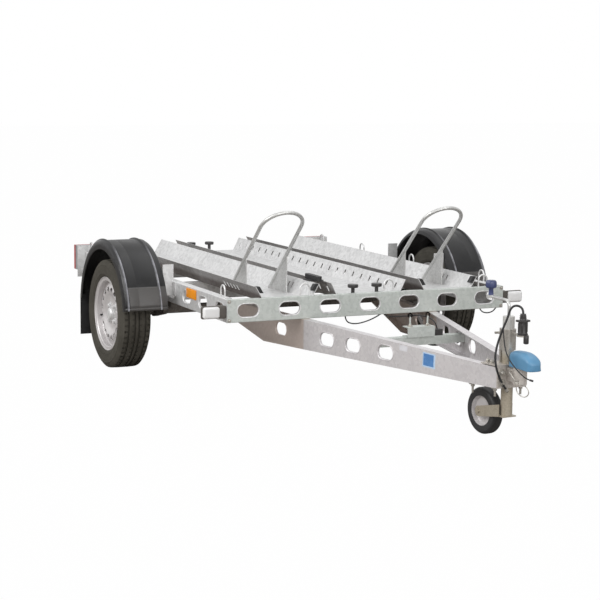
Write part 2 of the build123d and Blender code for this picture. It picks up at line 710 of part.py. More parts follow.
# Front marker lamps on rubber arms at the corners of the frame
marker_z = 391.0
marker_height = 58.0
marker_lens_width = 86.0
marker_arm = 30.0
marker_depth = 34.0
marker_back = 24.0
arms_of_lamps = []
lenses = []
for hand in (-1, 1):
    near = frame_half
    far = frame_half + marker_arm
    arm = span(frame_front - marker_back - marker_depth, frame_front, hand * near, hand * far,
               marker_z - marker_height / 2, marker_z + marker_height / 2)
    arm += span(frame_front - marker_back - marker_depth, frame_front - marker_back, hand * far,
                hand * (far + marker_lens_width), marker_z - marker_height / 2, marker_z + marker_height / 2)
    arms_of_lamps.append(arm)
    lens = span(frame_front - marker_back, frame_front, hand * far, hand * (far + marker_lens_width),
                marker_z - marker_height / 2, marker_z + marker_height / 2)
    lenses.append(lens)
keep("marker_lamp_arms", Compound(children=arms_of_lamps))
keep("marker_lamp_lenses", Compound(children=lenses))

# Amber side reflectors
reflector_length = 120.0
reflector_height = 46.0
reflector_wall = 8.0
reflector_x = 505.0
reflector_drop = 28.0
reflectors = []
for x in (reflector_x, -reflector_x - hole_pitch):
    for hand in (-1, 1):
        reflectors.append(span(x - reflector_length / 2, x + reflector_length / 2, hand * frame_half,
                               hand * (frame_half + reflector_wall), frame_top - reflector_drop - reflector_height / 2,
                               frame_top - reflector_drop + reflector_height / 2))
keep("side_reflectors", Compound(children=reflectors))

# Tail lamps on brackets at the rear corners, and a blank plate between them
tail_width = 130.0
tail_height = 134.0
tail_depth = 56.0
tail_z = 416.0
bracket_wall = 4.0
tail_spread = 47.0
tail_outer = frame_half + tail_spread
tail_back = -frame_rear - bracket_wall
panel_bottom = 310.0
panel_top = bearer_top - frame_wall
panel = span(tail_back, -frame_rear, -tail_outer, tail_outer, panel_bottom, panel_top)
for hand in (-1, 1):
    panel += span(tail_back, -frame_rear, hand * (tail_outer - tail_width), hand * tail_outer,
                  panel_bottom, tail_z + tail_height / 2)
keep("lamp_panel", panel)
tail_bodies = []
tail_lenses = []
lens_depth = 22.0
for hand in (-1, 1):
    near = tail_outer - tail_width
    tail_bodies.append(span(tail_back - tail_depth + lens_depth, tail_back, hand * near, hand * tail_outer,
                            tail_z - tail_height / 2, tail_z + tail_height / 2))
    tail_lenses.append(span(-rear_reach, tail_back - tail_depth + lens_depth, hand * near, hand * tail_outer,
                            tail_z - tail_height / 2, tail_z + tail_height / 2))
keep("tail_lamp_bodies", Compound(children=tail_bodies))
keep("tail_lamp_lenses", Compound(children=tail_lenses))
plate_width = 520.0
plate_tall = 110.0
plate_wall = 3.0
keep("number_plate", span(tail_back - plate_wall, tail_back, -plate_width / 2, plate_width / 2,
                          panel_top - plate_tall, panel_top))

# Jockey wheel: outer tube in a clamp on the nose, inner leg with a fork, wheel and crank
tube_wall = 3.0
tube_length = leg_tube_top - leg_tube_bottom
tube = Pos(jockey_x, 0, (leg_tube_top + leg_tube_bottom) / 2) * Cylinder(leg_tube_radius, tube_length)
tube -= Pos(jockey_x, 0, (leg_tube_top + leg_tube_bottom) / 2 - tube_wall) * Cylinder(
    leg_tube_radius - tube_wall, tube_length)
keep("jockey_outer_tube", tube)
clamp_height = 85.0
clamp_z = 372.0
clamp_wall = 7.0
clamp_back_wall = 5.0
clamp_back_half = 20.0
clamp_radius = leg_tube_radius + clamp_wall
clamp = Pos(jockey_x, 0, clamp_z + clamp_height / 2) * Cylinder(clamp_radius, clamp_height)
clamp += span(jockey_x - clamp_radius - clamp_back_wall, jockey_x - clamp_radius + clamp_wall, -clamp_back_half, clamp_back_half,
              shelf_top, clamp_z + clamp_height)
clamp -= Pos(jockey_x, 0, clamp_z) * Cylinder(leg_tube_radius, leg_tube_top)
handle_radius = 5.0
clamp_handle = 42.0
handle_lift = 58.0
handle_bar = 30.0
handle_front = jockey_x - clamp_radius - clamp_back_wall
handle_z = clamp_z + handle_lift
handle = Rot(0, 90, 0) * Cylinder(handle_radius, clamp_handle)
clamp += Pos(handle_front + weld_sink - clamp_handle / 2, 0, handle_z) * handle
cross_bar = Rot(90, 0, 0) * Cylinder(handle_radius, handle_bar)
clamp += Pos(handle_front - clamp_handle, 0, handle_z) * cross_bar
keep("jockey_clamp", clamp)

crank_rise = 62.0
crank_z = leg_tube_top + crank_rise
crank_reach = 143.0
crank_radius = 6.5
crank_bend = 26.0
crank_eye_radius = 19.0
crank_eye_wall = 2 * crank_radius
crank_route = FilletPolyline((jockey_x, 0, leg_tube_top), (jockey_x, 0, crank_z),
                             (jockey_x - crank_reach, 0, crank_z), radius=crank_bend)
crank = sweep(Plane(origin=(jockey_x, 0, leg_tube_top), z_dir=(0, 0, 1)) * Circle(crank_radius), path=crank_route)
crank += Pos(jockey_x - crank_reach, 0, crank_z) * Cylinder(crank_eye_radius, crank_eye_wall)
keep("jockey_crank", crank)
knob_stem_radius = 11.0
knob_stem_height = 28.0
grip_radius = 23.0
grip_height = 34.0
grip_z = crank_z + crank_eye_wall / 2
grip = Pos(jockey_x - crank_reach, 0, grip_z + knob_stem_height / 2) * Cylinder(knob_stem_radius, knob_stem_height)
ball = Cylinder(grip_radius, grip_height)
ball = fillet(ball.edges().filter_by(GeomType.CIRCLE), grip_height / 3)
grip += Pos(jockey_x - crank_reach, 0, grip_z + knob_stem_height + grip_height / 2 - weld_sink) * ball
keep("jockey_crank_knob", grip)

leg_fit = 0.1
leg_radius = leg_tube_radius - tube_wall - leg_fit
leg_length = 300.0
pivot_radius = 10.0
pivot_height = 55.0
pivot_bore = 60.0
leg = Pos(jockey_x, 0, leg_tube_bottom + leg_length / 2) * Cylinder(leg_radius, leg_length)
leg -= Pos(jockey_x, 0, leg_tube_bottom) * Cylinder(pivot_radius + running_fit, 2 * pivot_bore)
keep("jockey_leg", leg)

# Fork: plate under the leg with a pivot pin up into it, two cheeks and the wheel's pin
fork_clear = 6.0
fork_half = jockey_width / 2 + fork_clear
fork_wall = 5.0
fork_front = -6.0
fork_eye_radius = 22.0
fork_rise = 45.0
fork_top = leg_tube_bottom - seat_gap
fork = span(-leg_tube_radius, leg_tube_radius, -fork_half - weld_sink, fork_half + weld_sink,
            fork_top - fork_wall, fork_top)
fork += Pos(0, 0, fork_top + pivot_height / 2 - weld_sink) * Cylinder(pivot_radius, pivot_height)
cheek_side = Polygon(
    (-jockey_trail, jockey_radius - fork_eye_radius), (fork_front, fork_top - fork_wall),
    (fork_front, fork_top + fork_rise), (-jockey_trail, jockey_radius + fork_eye_radius), align=None)
for hand in (-1, 1):
    cheek = extrude(Plane.XZ * cheek_side, fork_wall / 2, both=True)
    cheek += Pos(-jockey_trail, 0, jockey_radius) * (Rot(90, 0, 0) * Cylinder(fork_eye_radius, fork_wall))
    fork += Pos(0, hand * (fork_half + fork_wall / 2), 0) * cheek
pin_radius = 8.0
pin = Rot(90, 0, 0) * Cylinder(pin_radius, 2 * fork_half + 4 * fork_wall)
fork += Pos(-jockey_trail, 0, jockey_radius) * pin


def on_leg(shape):
    return Pos(jockey_x, 0, 0) * (Rot(0, 0, jockey_turn) * shape)


keep("jockey_fork", on_leg(fork))
small_rim_radius = 62.0
small_rim_wall = 6.0
small_inset = 2.0
small_half = jockey_width / 2 - small_inset
small_hub = small_rim_radius / 3
small_rim = [
    (pin_radius + running_fit, -small_half), (small_hub, -small_half), (small_hub, -jockey_width / 6),
    (small_rim_radius - small_rim_wall, -jockey_width / 6), (small_rim_radius, -small_half),
    (small_rim_radius, small_half), (small_rim_radius - small_rim_wall, jockey_width / 6),
    (small_hub, jockey_width / 6), (small_hub, small_half), (pin_radius + running_fit, small_half),
]
small_wheel = Rot(90, 0, 0) * turned(small_rim)
keep("jockey_wheel_rim", on_leg(Pos(-jockey_trail, 0, jockey_radius) * small_wheel))
tyre_round = 14.0
small_tyre_section = Polygon(
    (small_rim_radius + seat_gap, -small_half), (jockey_radius, -jockey_width / 2),
    (jockey_radius, jockey_width / 2), (small_rim_radius + seat_gap, small_half), align=None)
outer_corners = [v for v in small_tyre_section.vertices() if v.X > jockey_radius - weld_sink]
small_tyre_section = fillet(outer_corners, tyre_round)
small_tyre = Rot(90, 0, 0) * revolve(Plane.XZ * small_tyre_section, Axis.Z)
keep("jockey_wheel_tyre", on_leg(Pos(-jockey_trail, 0, jockey_radius) * small_tyre))

# Plug, resting in a holder in front of the clamp
plug_x = 2267.0
plug_radius = 21.0
plug_bottom = 447.0
plug_height = 60.0
plug = Pos(plug_x, 0, plug_bottom + plug_height / 2) * Cylinder(plug_radius, plug_height)
gland_radius = 15.0
gland_height = 26.0
plug += Pos(plug_x, 0, plug_bottom + plug_height + gland_height / 2 - weld_sink) * Cylinder(gland_radius, gland_height)
keep("connector_plug", plug)
holder_wall = 6.0
holder_radius = 24.0
holder = Pos(plug_x, 0, plug_bottom - holder_wall / 2) * Cylinder(holder_radius, holder_wall)
holder_half = 8.0
holder_drop = 40.0
holder_back = jockey_x + clamp_radius
holder += span(holder_back, plug_x, -holder_half, holder_half, plug_bottom - holder_wall, plug_bottom)
holder += span(holder_back, holder_back + holder_wall, -holder_half, holder_half,
               plug_bottom - holder_drop, plug_bottom)
keep("plug_holder", holder)

# Cables: straight runs joined by the largest arcs that they allow
arc_share = 0.45
supply_diameter = 9.0
strand_diameter = 5.0
wire_diameter = 4.0
harness_diameter = 6.0


def cord(label, points, diameter):
    spots = [Vector(*point) for point in points]
    runs = [end - start for start, end in zip(spots, spots[1:])]
    radii = []
    for before, after in zip(runs, runs[1:]):
        half_turn = radians(before.get_angle(after)) / 2
        radii.append(arc_share * min(before.length, after.length) / tan(half_turn))
    path = FilletPolyline(*points, radius=radii)
    print(label, "radii", [round(radius) for radius in radii], "length", round(path.length))
    return sweep(Plane(origin=points[0], z_dir=runs[0]) * Circle(diameter / 2), path=path)


supply_route = [
    (2267.0, 0.0, 532.0), (2267.0, 0.0, 548.0), (2256.0, -11.0, 563.0), (2240.0, -27.0, 563.0), (2229.0, -38.0, 546.0),
    (2226.0, -46.0, 513.0), (2218.0, -59.0, 475.0), (2208.0, -69.0, 434.0), (2203.0, -79.0, 395.0),
    (2203.0, -86.0, 354.0), (2206.0, -82.0, 314.0), (2207.0, -71.0, 282.0), (2206.0, -55.0, 252.0),
    (2206.5, -38.0, 227.0), (2206.0, -24.0, 208.0),
]
keep("supply_cable", cord("supply cable", supply_route, supply_diameter))

# Ring clip that holds the end of the supply cable to the nose plate
clip_radius = 7.5
clip_length = 12.0
clip_share = 0.55
clip_start = Vector(*supply_route[-2])
clip_run = Vector(*supply_route[-1]) - clip_start
clip_plane = Plane(origin=clip_start + clip_run * clip_share, z_dir=clip_run)
clip = clip_plane * Cylinder(clip_radius, clip_length)
clip -= clip_plane * Cylinder(supply_diameter / 2 + running_fit, clip_length + 2 * overrun)
keep("cable_clip", clip)

# Thin strand from the supply cable to a rubber tip under the front of the coupling
strand_route = [
    (2223.3, -63.7, 470.0), (2226.0, -62.0, 440.0), (2231.0, -61.0, 408.0), (2244.0, -60.0, 376.0),
    (2265.0, -58.0, 352.0), (2292.0, -55.0, 331.0), (2320.0, -50.0, 313.0), (2345.0, -42.0, 297.0),
    (2360.0, -31.0, 286.0), (2365.0, -15.0, 281.0),
]
tip_radius = 4.0
tip_length = 16.0
strand = cord("strand", strand_route, strand_diameter)
tip_end = Vector(*strand_route[-1])
tip_run = tip_end - Vector(*strand_route[-2])
strand += Plane(origin=tip_end, z_dir=tip_run) * Cylinder(tip_radius, tip_length)
keep("breakaway_strand", strand)

# Steel safety wire from the coupling, with a loop closed by a crimp
wire_route = [
    (2236.0, -shank_half, 298.0), (2236.0, -36.0, 298.0), (2246.0, -42.0, 294.0), (2259.0, -41.0, 286.0),
    (2272.0, -40.0, 277.0), (2283.0, -38.0, 264.0),
    (2287.0, -36.0, 248.0), (2285.0, -33.0, 229.0), (2293.0, -27.0, 213.0), (2311.0, -18.0, 205.0),
    (2329.0, -10.0, 210.0), (2337.0, -6.0, 228.0), (2330.0, -12.0, 246.0), (2313.0, -23.0, 256.0),
    (2295.0, -32.0, 262.0),
]
crimp_place = (2289.0, -35.5, 263.0)
crimp_radius = 7.5
crimp_length = 14.0
wire = cord("safety wire", wire_route, wire_diameter)
wire += Pos(*crimp_place) * Cylinder(crimp_radius, crimp_length)
keep("safety_wire", wire)

# Wiring: two loops under the front crossmember, and a lead from there to a connector on the tie
harness_x = 925.0
harness_top = frame_bottom - seat_gap
near_loop = [
    (harness_x, -121.0, harness_top), (harness_x, -121.0, 328.0), (harness_x, -112.0, 313.0), (harness_x, -92.0, 305.0),
    (harness_x, -62.0, 302.0), (harness_x, -30.0, 306.0), (harness_x, 5.0, 313.0), (harness_x, 40.0, 322.0),
    (harness_x, 64.0, 330.0), (harness_x, 64.0, harness_top),
]
far_loop = [
    (harness_x, 603.0, harness_top), (harness_x, 603.0, 331.0), (harness_x, 613.0, 323.0), (harness_x, 628.0, 319.0),
    (harness_x, 648.0, 317.0), (harness_x, 668.0, 319.0), (harness_x, 684.0, 323.0), (harness_x, 695.0, 331.0),
    (harness_x, 695.0, harness_top),
]
connector_x = 1385.0
connector_y = 110.0
connector_length = 34.0
connector_width = 44.0
connector_height = 28.0
connector_top = tie_top + connector_height
tie_lead = [
    (connector_x, connector_y, connector_top + seat_gap), (connector_x, connector_y, 350.0), (1376.0, 104.0, 368.0),
    (1350.0, 96.0, 380.0), (1312.0, 91.0, 384.0), (1265.0, 88.0, 381.0), (1215.0, 87.0, 375.0),
    (1165.0, 85.0, 365.0), (1115.0, 87.0, 358.0), (1065.0, 85.0, 347.0), (1015.0, 86.0, 341.0),
    (972.0, 87.0, 333.0), (942.0, 86.0, 326.0), (harness_x, 86.0, 328.0), (harness_x, 86.0, harness_top),
]
routes = {"near loop": near_loop, "far loop": far_loop, "tie lead": tie_lead}
keep("harness_cables", Compound(children=[cord(label, route, harness_diameter) for label, route in routes.items()]))
connector = span(connector_x - connector_length / 2, connector_x + connector_length / 2,
                 connector_y - connector_width / 2, connector_y + connector_width / 2, tie_top, connector_top)
connector_round = 4.0
keep("harness_connector", fillet(connector.edges().filter_by(Axis.Z), connector_round))

for name, shape in nodes.items():
    export_step(Pos(-origin_x, 0, 0) * shape, f"parts/{name}.step")
print(len(nodes), "nodes")
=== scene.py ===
import math
import bmesh
import bpy
from mathutils import Matrix, Vector


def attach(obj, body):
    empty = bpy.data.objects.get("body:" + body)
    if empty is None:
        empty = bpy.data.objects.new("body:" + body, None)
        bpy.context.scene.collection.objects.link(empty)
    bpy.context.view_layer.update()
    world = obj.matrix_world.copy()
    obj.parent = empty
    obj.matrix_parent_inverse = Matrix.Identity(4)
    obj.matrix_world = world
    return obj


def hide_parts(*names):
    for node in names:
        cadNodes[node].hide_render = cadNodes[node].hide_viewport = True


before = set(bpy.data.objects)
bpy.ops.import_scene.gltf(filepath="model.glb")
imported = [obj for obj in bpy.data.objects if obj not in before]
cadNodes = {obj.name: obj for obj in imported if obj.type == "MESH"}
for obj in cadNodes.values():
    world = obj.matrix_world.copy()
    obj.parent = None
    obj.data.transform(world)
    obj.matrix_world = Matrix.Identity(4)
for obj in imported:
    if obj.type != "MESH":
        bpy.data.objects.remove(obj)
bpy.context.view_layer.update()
scene = bpy.context.scene
print("frame loaded with", len(cadNodes), "pieces")

# lengths are metres and X is counted from the axle line here, so every place moves back by axleX
axleX = -0.5945
wheelTrack, wheelHeight = 0.909, 0.268  # the road wheels' middles, from the trailer's middle and the ground
sides = ((-1, "right"), (1, "left"))


def at(x, y, z):
    return Vector((x + axleX, y, z))


def atMillimetres(x, y, z):
    return at(x / 1000, y / 1000, z / 1000)


# camera
cameraView = {"focalPixels": 1719.51, "pictureWidth": 600, "place": (8.0101, -3.6444, 1.5184),
              "yaw": 2.7067, "pitch": 0.1387, "roll": 0.0118}


def placeCamera(view):
    data = bpy.data.cameras.new("viewCamera")
    data.sensor_fit = "HORIZONTAL"
    data.sensor_width = 36
    data.lens = data.sensor_width * view["focalPixels"] / view["pictureWidth"]
    data.clip_end = 60
    camera = bpy.data.objects.new("viewCamera", data)
    scene.collection.objects.link(camera)
    level = math.cos(view["pitch"])
    ahead = Vector((math.cos(view["yaw"]) * level, math.sin(view["yaw"]) * level, -math.sin(view["pitch"])))
    right = ahead.cross(Vector((0, 0, 1))).normalized()
    up = right.cross(ahead)
    c, s = math.cos(view["roll"]), math.sin(view["roll"])
    turn = Matrix((right * c + up * s, up * c - right * s, -ahead)).transposed().to_4x4()
    camera.matrix_world = Matrix.Translation(at(*view["place"])) @ turn
    scene.camera = camera


placeCamera(cameraView)


# node helpers
def addNode(tree, kind, inputs=None, **settings):
    node = tree.nodes.new(kind)
    for key, value in settings.items():
        setattr(node, key, value)
    for key, value in (inputs or {}).items():
        node.inputs[key].default_value = value
    return node


def newMaterial(name):
    material = bpy.data.materials.new(name)
    material.use_nodes = True
    tree = material.node_tree
    shader = tree.nodes["Principled BSDF"]
    place = addNode(tree, "ShaderNodeTexCoord")
    return material, tree, shader, place.outputs["Object"]


def newGroup(name, inputs, outputs):
    group = bpy.data.node_groups.new(name, "ShaderNodeTree")
    for label, kind, value in inputs:
        socket = group.interface.new_socket(name=label, in_out="INPUT", socket_type=kind)
        if value is not None:
            socket.default_value = value
    for label, kind in outputs:
        group.interface.new_socket(name=label, in_out="OUTPUT", socket_type=kind)
    return group, group.nodes.new("NodeGroupInput"), group.nodes.new("NodeGroupOutput")


def useGroup(tree, group, place, values):
    node = addNode(tree, "ShaderNodeGroup", node_tree=group)
    for key, value in values.items():
        node.inputs[key].default_value = value
    tree.links.new(place, node.inputs["Vector"])
    return node


def mathNode(tree, operation, a, b):
    node = addNode(tree, "ShaderNodeMath", operation=operation)
    for slot, value in ((0, a), (1, b)):
        if isinstance(value, (int, float)):
            node.inputs[slot].default_value = value
        else:
            tree.links.new(value, node.inputs[slot])
    return node.outputs[0]


def mixColour(tree, factor, a, b):
    node = addNode(tree, "ShaderNodeMix", data_type="RGBA")
    for label, value in (("Factor_Float", factor), ("A_Color", a), ("B_Color", b)):
        socket = next(s for s in node.inputs if s.identifier == label)
        if isinstance(value, (int, float, tuple)):
            socket.default_value = value
        else:
            tree.links.new(value, socket)
    return next(s for s in node.outputs if s.identifier == "Result_Color")


def bumpFrom(tree, height, strength, distance):
    node = addNode(tree, "ShaderNodeBump", {"Strength": strength, "Distance": distance})
    tree.links.new(height, node.inputs["Height"])
    return node.outputs["Normal"]


def remap(tree, value, low, high, toLow, toHigh):
    node = addNode(tree, "ShaderNodeMapRange",
                   {"From Min": low, "From Max": high, "To Min": toLow, "To Max": toHigh})
    tree.links.new(value, node.inputs["Value"])
    return node.outputs["Result"]


def addNoise(tree, place, scale, detail, roughness=0.5):
    node = addNode(tree, "ShaderNodeTexNoise", {"Scale": scale, "Detail": detail, "Roughness": roughness})
    tree.links.new(place, node.inputs["Vector"])
    return node.outputs["Fac"]


def splitVector(tree, vector):
    node = addNode(tree, "ShaderNodeSeparateXYZ")
    tree.links.new(vector, node.inputs["Vector"])
    return node.outputs


def weightedSum(tree, parts):
    total = None
    for value, weight in parts:
        share = mathNode(tree, "MULTIPLY", value, weight)
        total = share if total is None else mathNode(tree, "ADD", total, share)
    return total


# inside a group: the roughness goes from Smooth to Rough as the share grows
def linkRoughness(group, entry, leave, share):
    span = mathNode(group, "SUBTRACT", entry.outputs["Rough"], entry.outputs["Smooth"])
    rough = mathNode(group, "ADD", entry.outputs["Smooth"], mathNode(group, "MULTIPLY", span, share))
    group.links.new(rough, leave.inputs["Roughness"])


def linkSurface(tree, shader, surface, bump, distance):
    tree.links.new(surface.outputs["Color"], shader.inputs["Base Color"])
    tree.links.new(surface.outputs["Roughness"], shader.inputs["Roughness"])
    tree.links.new(bumpFrom(tree, surface.outputs["Height"], bump, distance), shader.inputs["Normal"])


# what a tint needs of a finished material: its colour so far and a fresh place to read
def reopen(material):
    tree = material.node_tree
    shader = tree.nodes["Principled BSDF"]
    base = shader.inputs["Base Color"].links[0].from_socket
    return tree, shader, base, addNode(tree, "ShaderNodeTexCoord").outputs


# zinc: crystals a centimetre or so across, broad clouds and runs that hang down
zincLook = {"crystalShare": 0.34, "cloudScale": 4.5, "cloudShare": 0.72, "runScale": (26.0, 26.0, 2.2),
            "runShare": 0.30, "dullRange": (0.48, 0.92), "pitScale": 320.0, "pitHeight": 0.6, "cloudHeight": 1.2,
            "crystalHeight": 0.12, "bumpDistance": 0.002}


def makeZincGroup(look):
    group, entry, leave = newGroup("zincCrystals", [
        ("Vector", "NodeSocketVector", None), ("Crystals", "NodeSocketFloat", 70.0),
        ("Pale", "NodeSocketColor", (0.7, 0.7, 0.7, 1)), ("Dull", "NodeSocketColor", (0.5, 0.5, 0.5, 1)),
        ("Smooth", "NodeSocketFloat", 0.35), ("Rough", "NodeSocketFloat", 0.6)],
        [("Color", "NodeSocketColor"), ("Roughness", "NodeSocketFloat"), ("Height", "NodeSocketFloat")])
    links, place = group.links, entry.outputs["Vector"]
    cells = addNode(group, "ShaderNodeTexVoronoi", {"Randomness": 1.0})
    links.new(place, cells.inputs["Vector"])
    links.new(entry.outputs["Crystals"], cells.inputs["Scale"])
    split = addNode(group, "ShaderNodeSeparateColor")
    links.new(cells.outputs["Color"], split.inputs["Color"])
    crystals = split.outputs["Red"]
    clouds = addNoise(group, place, look["cloudScale"], 5.0, 0.62)
    hang = addNode(group, "ShaderNodeMapping", {"Scale": look["runScale"]})
    links.new(place, hang.inputs["Vector"])
    runs = addNoise(group, hang.outputs["Vector"], 1.0, 3.0)
    mixed = weightedSum(group, [(crystals, look["crystalShare"]), (clouds, look["cloudShare"]),
                                (runs, look["runShare"])])
    dullness = remap(group, mixed, *look["dullRange"], 0.0, 1.0)
    links.new(mixColour(group, dullness, entry.outputs["Pale"], entry.outputs["Dull"]), leave.inputs["Color"])
    linkRoughness(group, entry, leave, dullness)
    pits = addNoise(group, place, look["pitScale"], 3.0)
    height = weightedSum(group, [(pits, look["pitHeight"]), (clouds, look["cloudHeight"]),
                                 (crystals, look["crystalHeight"])])
    links.new(height, leave.inputs["Height"])
    return group


zincGroup = makeZincGroup(zincLook)


def zincMaterial(name, pale, dull, smooth=0.34, rough=0.56, crystals=75.0, metallic=0.75, bump=0.16):
    material, tree, shader, place = newMaterial(name)
    zinc = useGroup(tree, zincGroup, place, {"Crystals": crystals, "Pale": (*pale, 1), "Dull": (*dull, 1),
                                             "Smooth": smooth, "Rough": rough})
    linkSurface(tree, shader, zinc, bump, zincLook["bumpDistance"])
    shader.inputs["Metallic"].default_value = metallic
    return material


# moulded surfaces: a fine grain, soft clouds of dust and paler scuffs
mouldLook = {"dustScale": 9.0, "scuffRange": (0.42, 0.72), "dustHeight": 0.5, "bumpDistance": 0.001}


def makeMouldGroup(look):
    group, entry, leave = newGroup("mouldedGrain", [
        ("Vector", "NodeSocketVector", None), ("Grain", "NodeSocketFloat", 900.0),
        ("Body", "NodeSocketColor", (0.05, 0.05, 0.05, 1)), ("Scuffed", "NodeSocketColor", (0.1, 0.1, 0.1, 1)),
        ("Smooth", "NodeSocketFloat", 0.4), ("Rough", "NodeSocketFloat", 0.6)],
        [("Color", "NodeSocketColor"), ("Roughness", "NodeSocketFloat"), ("Height", "NodeSocketFloat")])
    links, place = group.links, entry.outputs["Vector"]
    grain = addNode(group, "ShaderNodeTexNoise", {"Detail": 2.0, "Roughness": 0.6})
    links.new(place, grain.inputs["Vector"])
    links.new(entry.outputs["Grain"], grain.inputs["Scale"])
    dust = addNoise(group, place, look["dustScale"], 6.0, 0.65)
    scuffs = remap(group, dust, *look["scuffRange"], 0.0, 1.0)
    links.new(mixColour(group, scuffs, entry.outputs["Body"], entry.outputs["Scuffed"]), leave.inputs["Color"])
    linkRoughness(group, entry, leave, scuffs)
    height = mathNode(group, "ADD", grain.outputs["Fac"], mathNode(group, "MULTIPLY", dust, look["dustHeight"]))
    links.new(height, leave.inputs["Height"])
    return group


mouldGroup = makeMouldGroup(mouldLook)


def mouldedMaterial(name, body, scuffed, smooth=0.4, rough=0.6, grain=900.0, bump=0.12, metallic=0.0, specular=0.5):
    material, tree, shader, place = newMaterial(name)
    mould = useGroup(tree, mouldGroup, place, {"Grain": grain, "Body": (*body, 1), "Scuffed": (*scuffed, 1),
                                               "Smooth": smooth, "Rough": rough})
    linkSurface(tree, shader, mould, bump, mouldLook["bumpDistance"])
    shader.inputs["Metallic"].default_value = metallic
    shader.inputs["Specular IOR Level"].default_value = specular
    return material


# lamp lenses: a fluted clear or coloured plastic over a pale reflector
lensLook = {"cloudScale": 40.0, "deep": 0.7, "deepShare": 0.5, "bump": 0.5, "bumpDistance": 0.0015,
            "roughness": 0.14, "refraction": 1.49}


def makeLensGroup(look):
    group, entry, leave = newGroup("flutedLens", [
        ("Vector", "NodeSocketVector", None), ("Flutes", "NodeSocketFloat", 90.0),
        ("Clear", "NodeSocketColor", (0.9, 0.9, 0.9, 1)), ("Deep", "NodeSocketColor", (0.6, 0.6, 0.6, 1))],
        [("Color", "NodeSocketColor"), ("Height", "NodeSocketFloat")])
    links, place = group.links, entry.outputs["Vector"]
    wave = addNode(group, "ShaderNodeTexWave", {"Distortion": 0.0}, bands_direction="Y")
    links.new(place, wave.inputs["Vector"])
    links.new(entry.outputs["Flutes"], wave.inputs["Scale"])
    shade = mathNode(group, "MULTIPLY", addNoise(group, place, look["cloudScale"], 3.0), look["deepShare"])
    links.new(mixColour(group, shade, entry.outputs["Clear"], entry.outputs["Deep"]), leave.inputs["Color"])
    links.new(wave.outputs["Fac"], leave.inputs["Height"])
    return group


lensGroup = makeLensGroup(lensLook)


def lensMaterial(name, colour, flutes, transmission):
    material, tree, shader, place = newMaterial(name)
    deep = tuple(lensLook["deep"] * part for part in colour)
    lens = useGroup(tree, lensGroup, place, {"Flutes": flutes, "Clear": (*colour, 1), "Deep": (*deep, 1)})
    tree.links.new(lens.outputs["Color"], shader.inputs["Base Color"])
    bump = bumpFrom(tree, lens.outputs["Height"], lensLook["bump"], lensLook["bumpDistance"])
    tree.links.new(bump, shader.inputs["Normal"])
    shader.inputs["Roughness"].default_value = lensLook["roughness"]
    shader.inputs["Transmission Weight"].default_value = transmission
    shader.inputs["IOR"].default_value = lensLook["refraction"]
    return material


zincPale = zincMaterial("zincPale", (0.76, 0.76, 0.76), (0.57, 0.57, 0.57), metallic=0.5)
zincFront = zincMaterial("zincFront", (0.57, 0.60, 0.575), (0.46, 0.49, 0.465), smooth=0.42, rough=0.62, metallic=0.45)
zincBeam = zincMaterial("zincBeam", (0.72, 0.70, 0.71), (0.56, 0.54, 0.55), smooth=0.36, rough=0.55, metallic=0.55)
zincRail = zincMaterial("zincRail", (0.72, 0.72, 0.72), (0.55, 0.55, 0.55), smooth=0.34, rough=0.52, metallic=0.5)
zincTan = zincMaterial("zincTan", (0.45, 0.405, 0.325), (0.32, 0.28, 0.215), smooth=0.3, rough=0.5, crystals=180.0,
                       metallic=0.5)
castDark = zincMaterial("castDark", (0.62, 0.58, 0.54), (0.36, 0.33, 0.30), smooth=0.35, rough=0.6, crystals=120.0,
                        metallic=0.5)
zincTube = zincMaterial("zincTube", (0.62, 0.62, 0.61), (0.45, 0.45, 0.44), smooth=0.28, rough=0.46, crystals=160.0,
                        metallic=0.6)
boltZinc = zincMaterial("boltZinc", (0.52, 0.50, 0.46), (0.34, 0.32, 0.29), smooth=0.25, rough=0.45, crystals=260.0)
ironDark = zincMaterial("ironDark", (0.16, 0.145, 0.13), (0.09, 0.08, 0.07), smooth=0.45, rough=0.65, crystals=200.0,
                        metallic=0.4)
hubIron = zincMaterial("hubIron", (0.30, 0.29, 0.28), (0.18, 0.17, 0.16), smooth=0.4, rough=0.6, crystals=300.0)
guardPlastic = mouldedMaterial("guardPlastic", (0.008, 0.008, 0.0085), (0.015, 0.015, 0.016), smooth=0.32, rough=0.48,
                               specular=0.32)
softRubber = mouldedMaterial("softRubber", (0.010, 0.010, 0.011), (0.022, 0.022, 0.023), smooth=0.5, rough=0.72,
                             grain=500.0)
tyreRubber = mouldedMaterial("tyreRubber", (0.060, 0.056, 0.047), (0.092, 0.086, 0.073), smooth=0.7, rough=0.85,
                             grain=420.0, specular=0.08)
armRubber = mouldedMaterial("armRubber", (0.060, 0.053, 0.046), (0.095, 0.084, 0.074), smooth=0.5, rough=0.7, bump=0.03)
skyPlastic = mouldedMaterial("skyPlastic", (0.085, 0.235, 0.40), (0.115, 0.285, 0.46), smooth=0.35, rough=0.5,
                             grain=700.0)
navyPlastic = mouldedMaterial("navyPlastic", (0.035, 0.048, 0.125), (0.06, 0.075, 0.18), smooth=0.26, rough=0.4)
plugPlastic = mouldedMaterial("plugPlastic", (0.022, 0.020, 0.020), (0.045, 0.042, 0.042), smooth=0.35, rough=0.55)
greyPlastic = mouldedMaterial("greyPlastic", (0.26, 0.27, 0.28), (0.34, 0.35, 0.36), smooth=0.4, rough=0.6)
rimSilver = mouldedMaterial("rimSilver", (0.54, 0.52, 0.52), (0.64, 0.62, 0.62), smooth=0.28, rough=0.42, grain=1400.0,
                            bump=0.05, metallic=0.35)
plateWhite = mouldedMaterial("plateWhite", (0.72, 0.72, 0.70), (0.64, 0.64, 0.62), smooth=0.2, rough=0.35, bump=0.03)
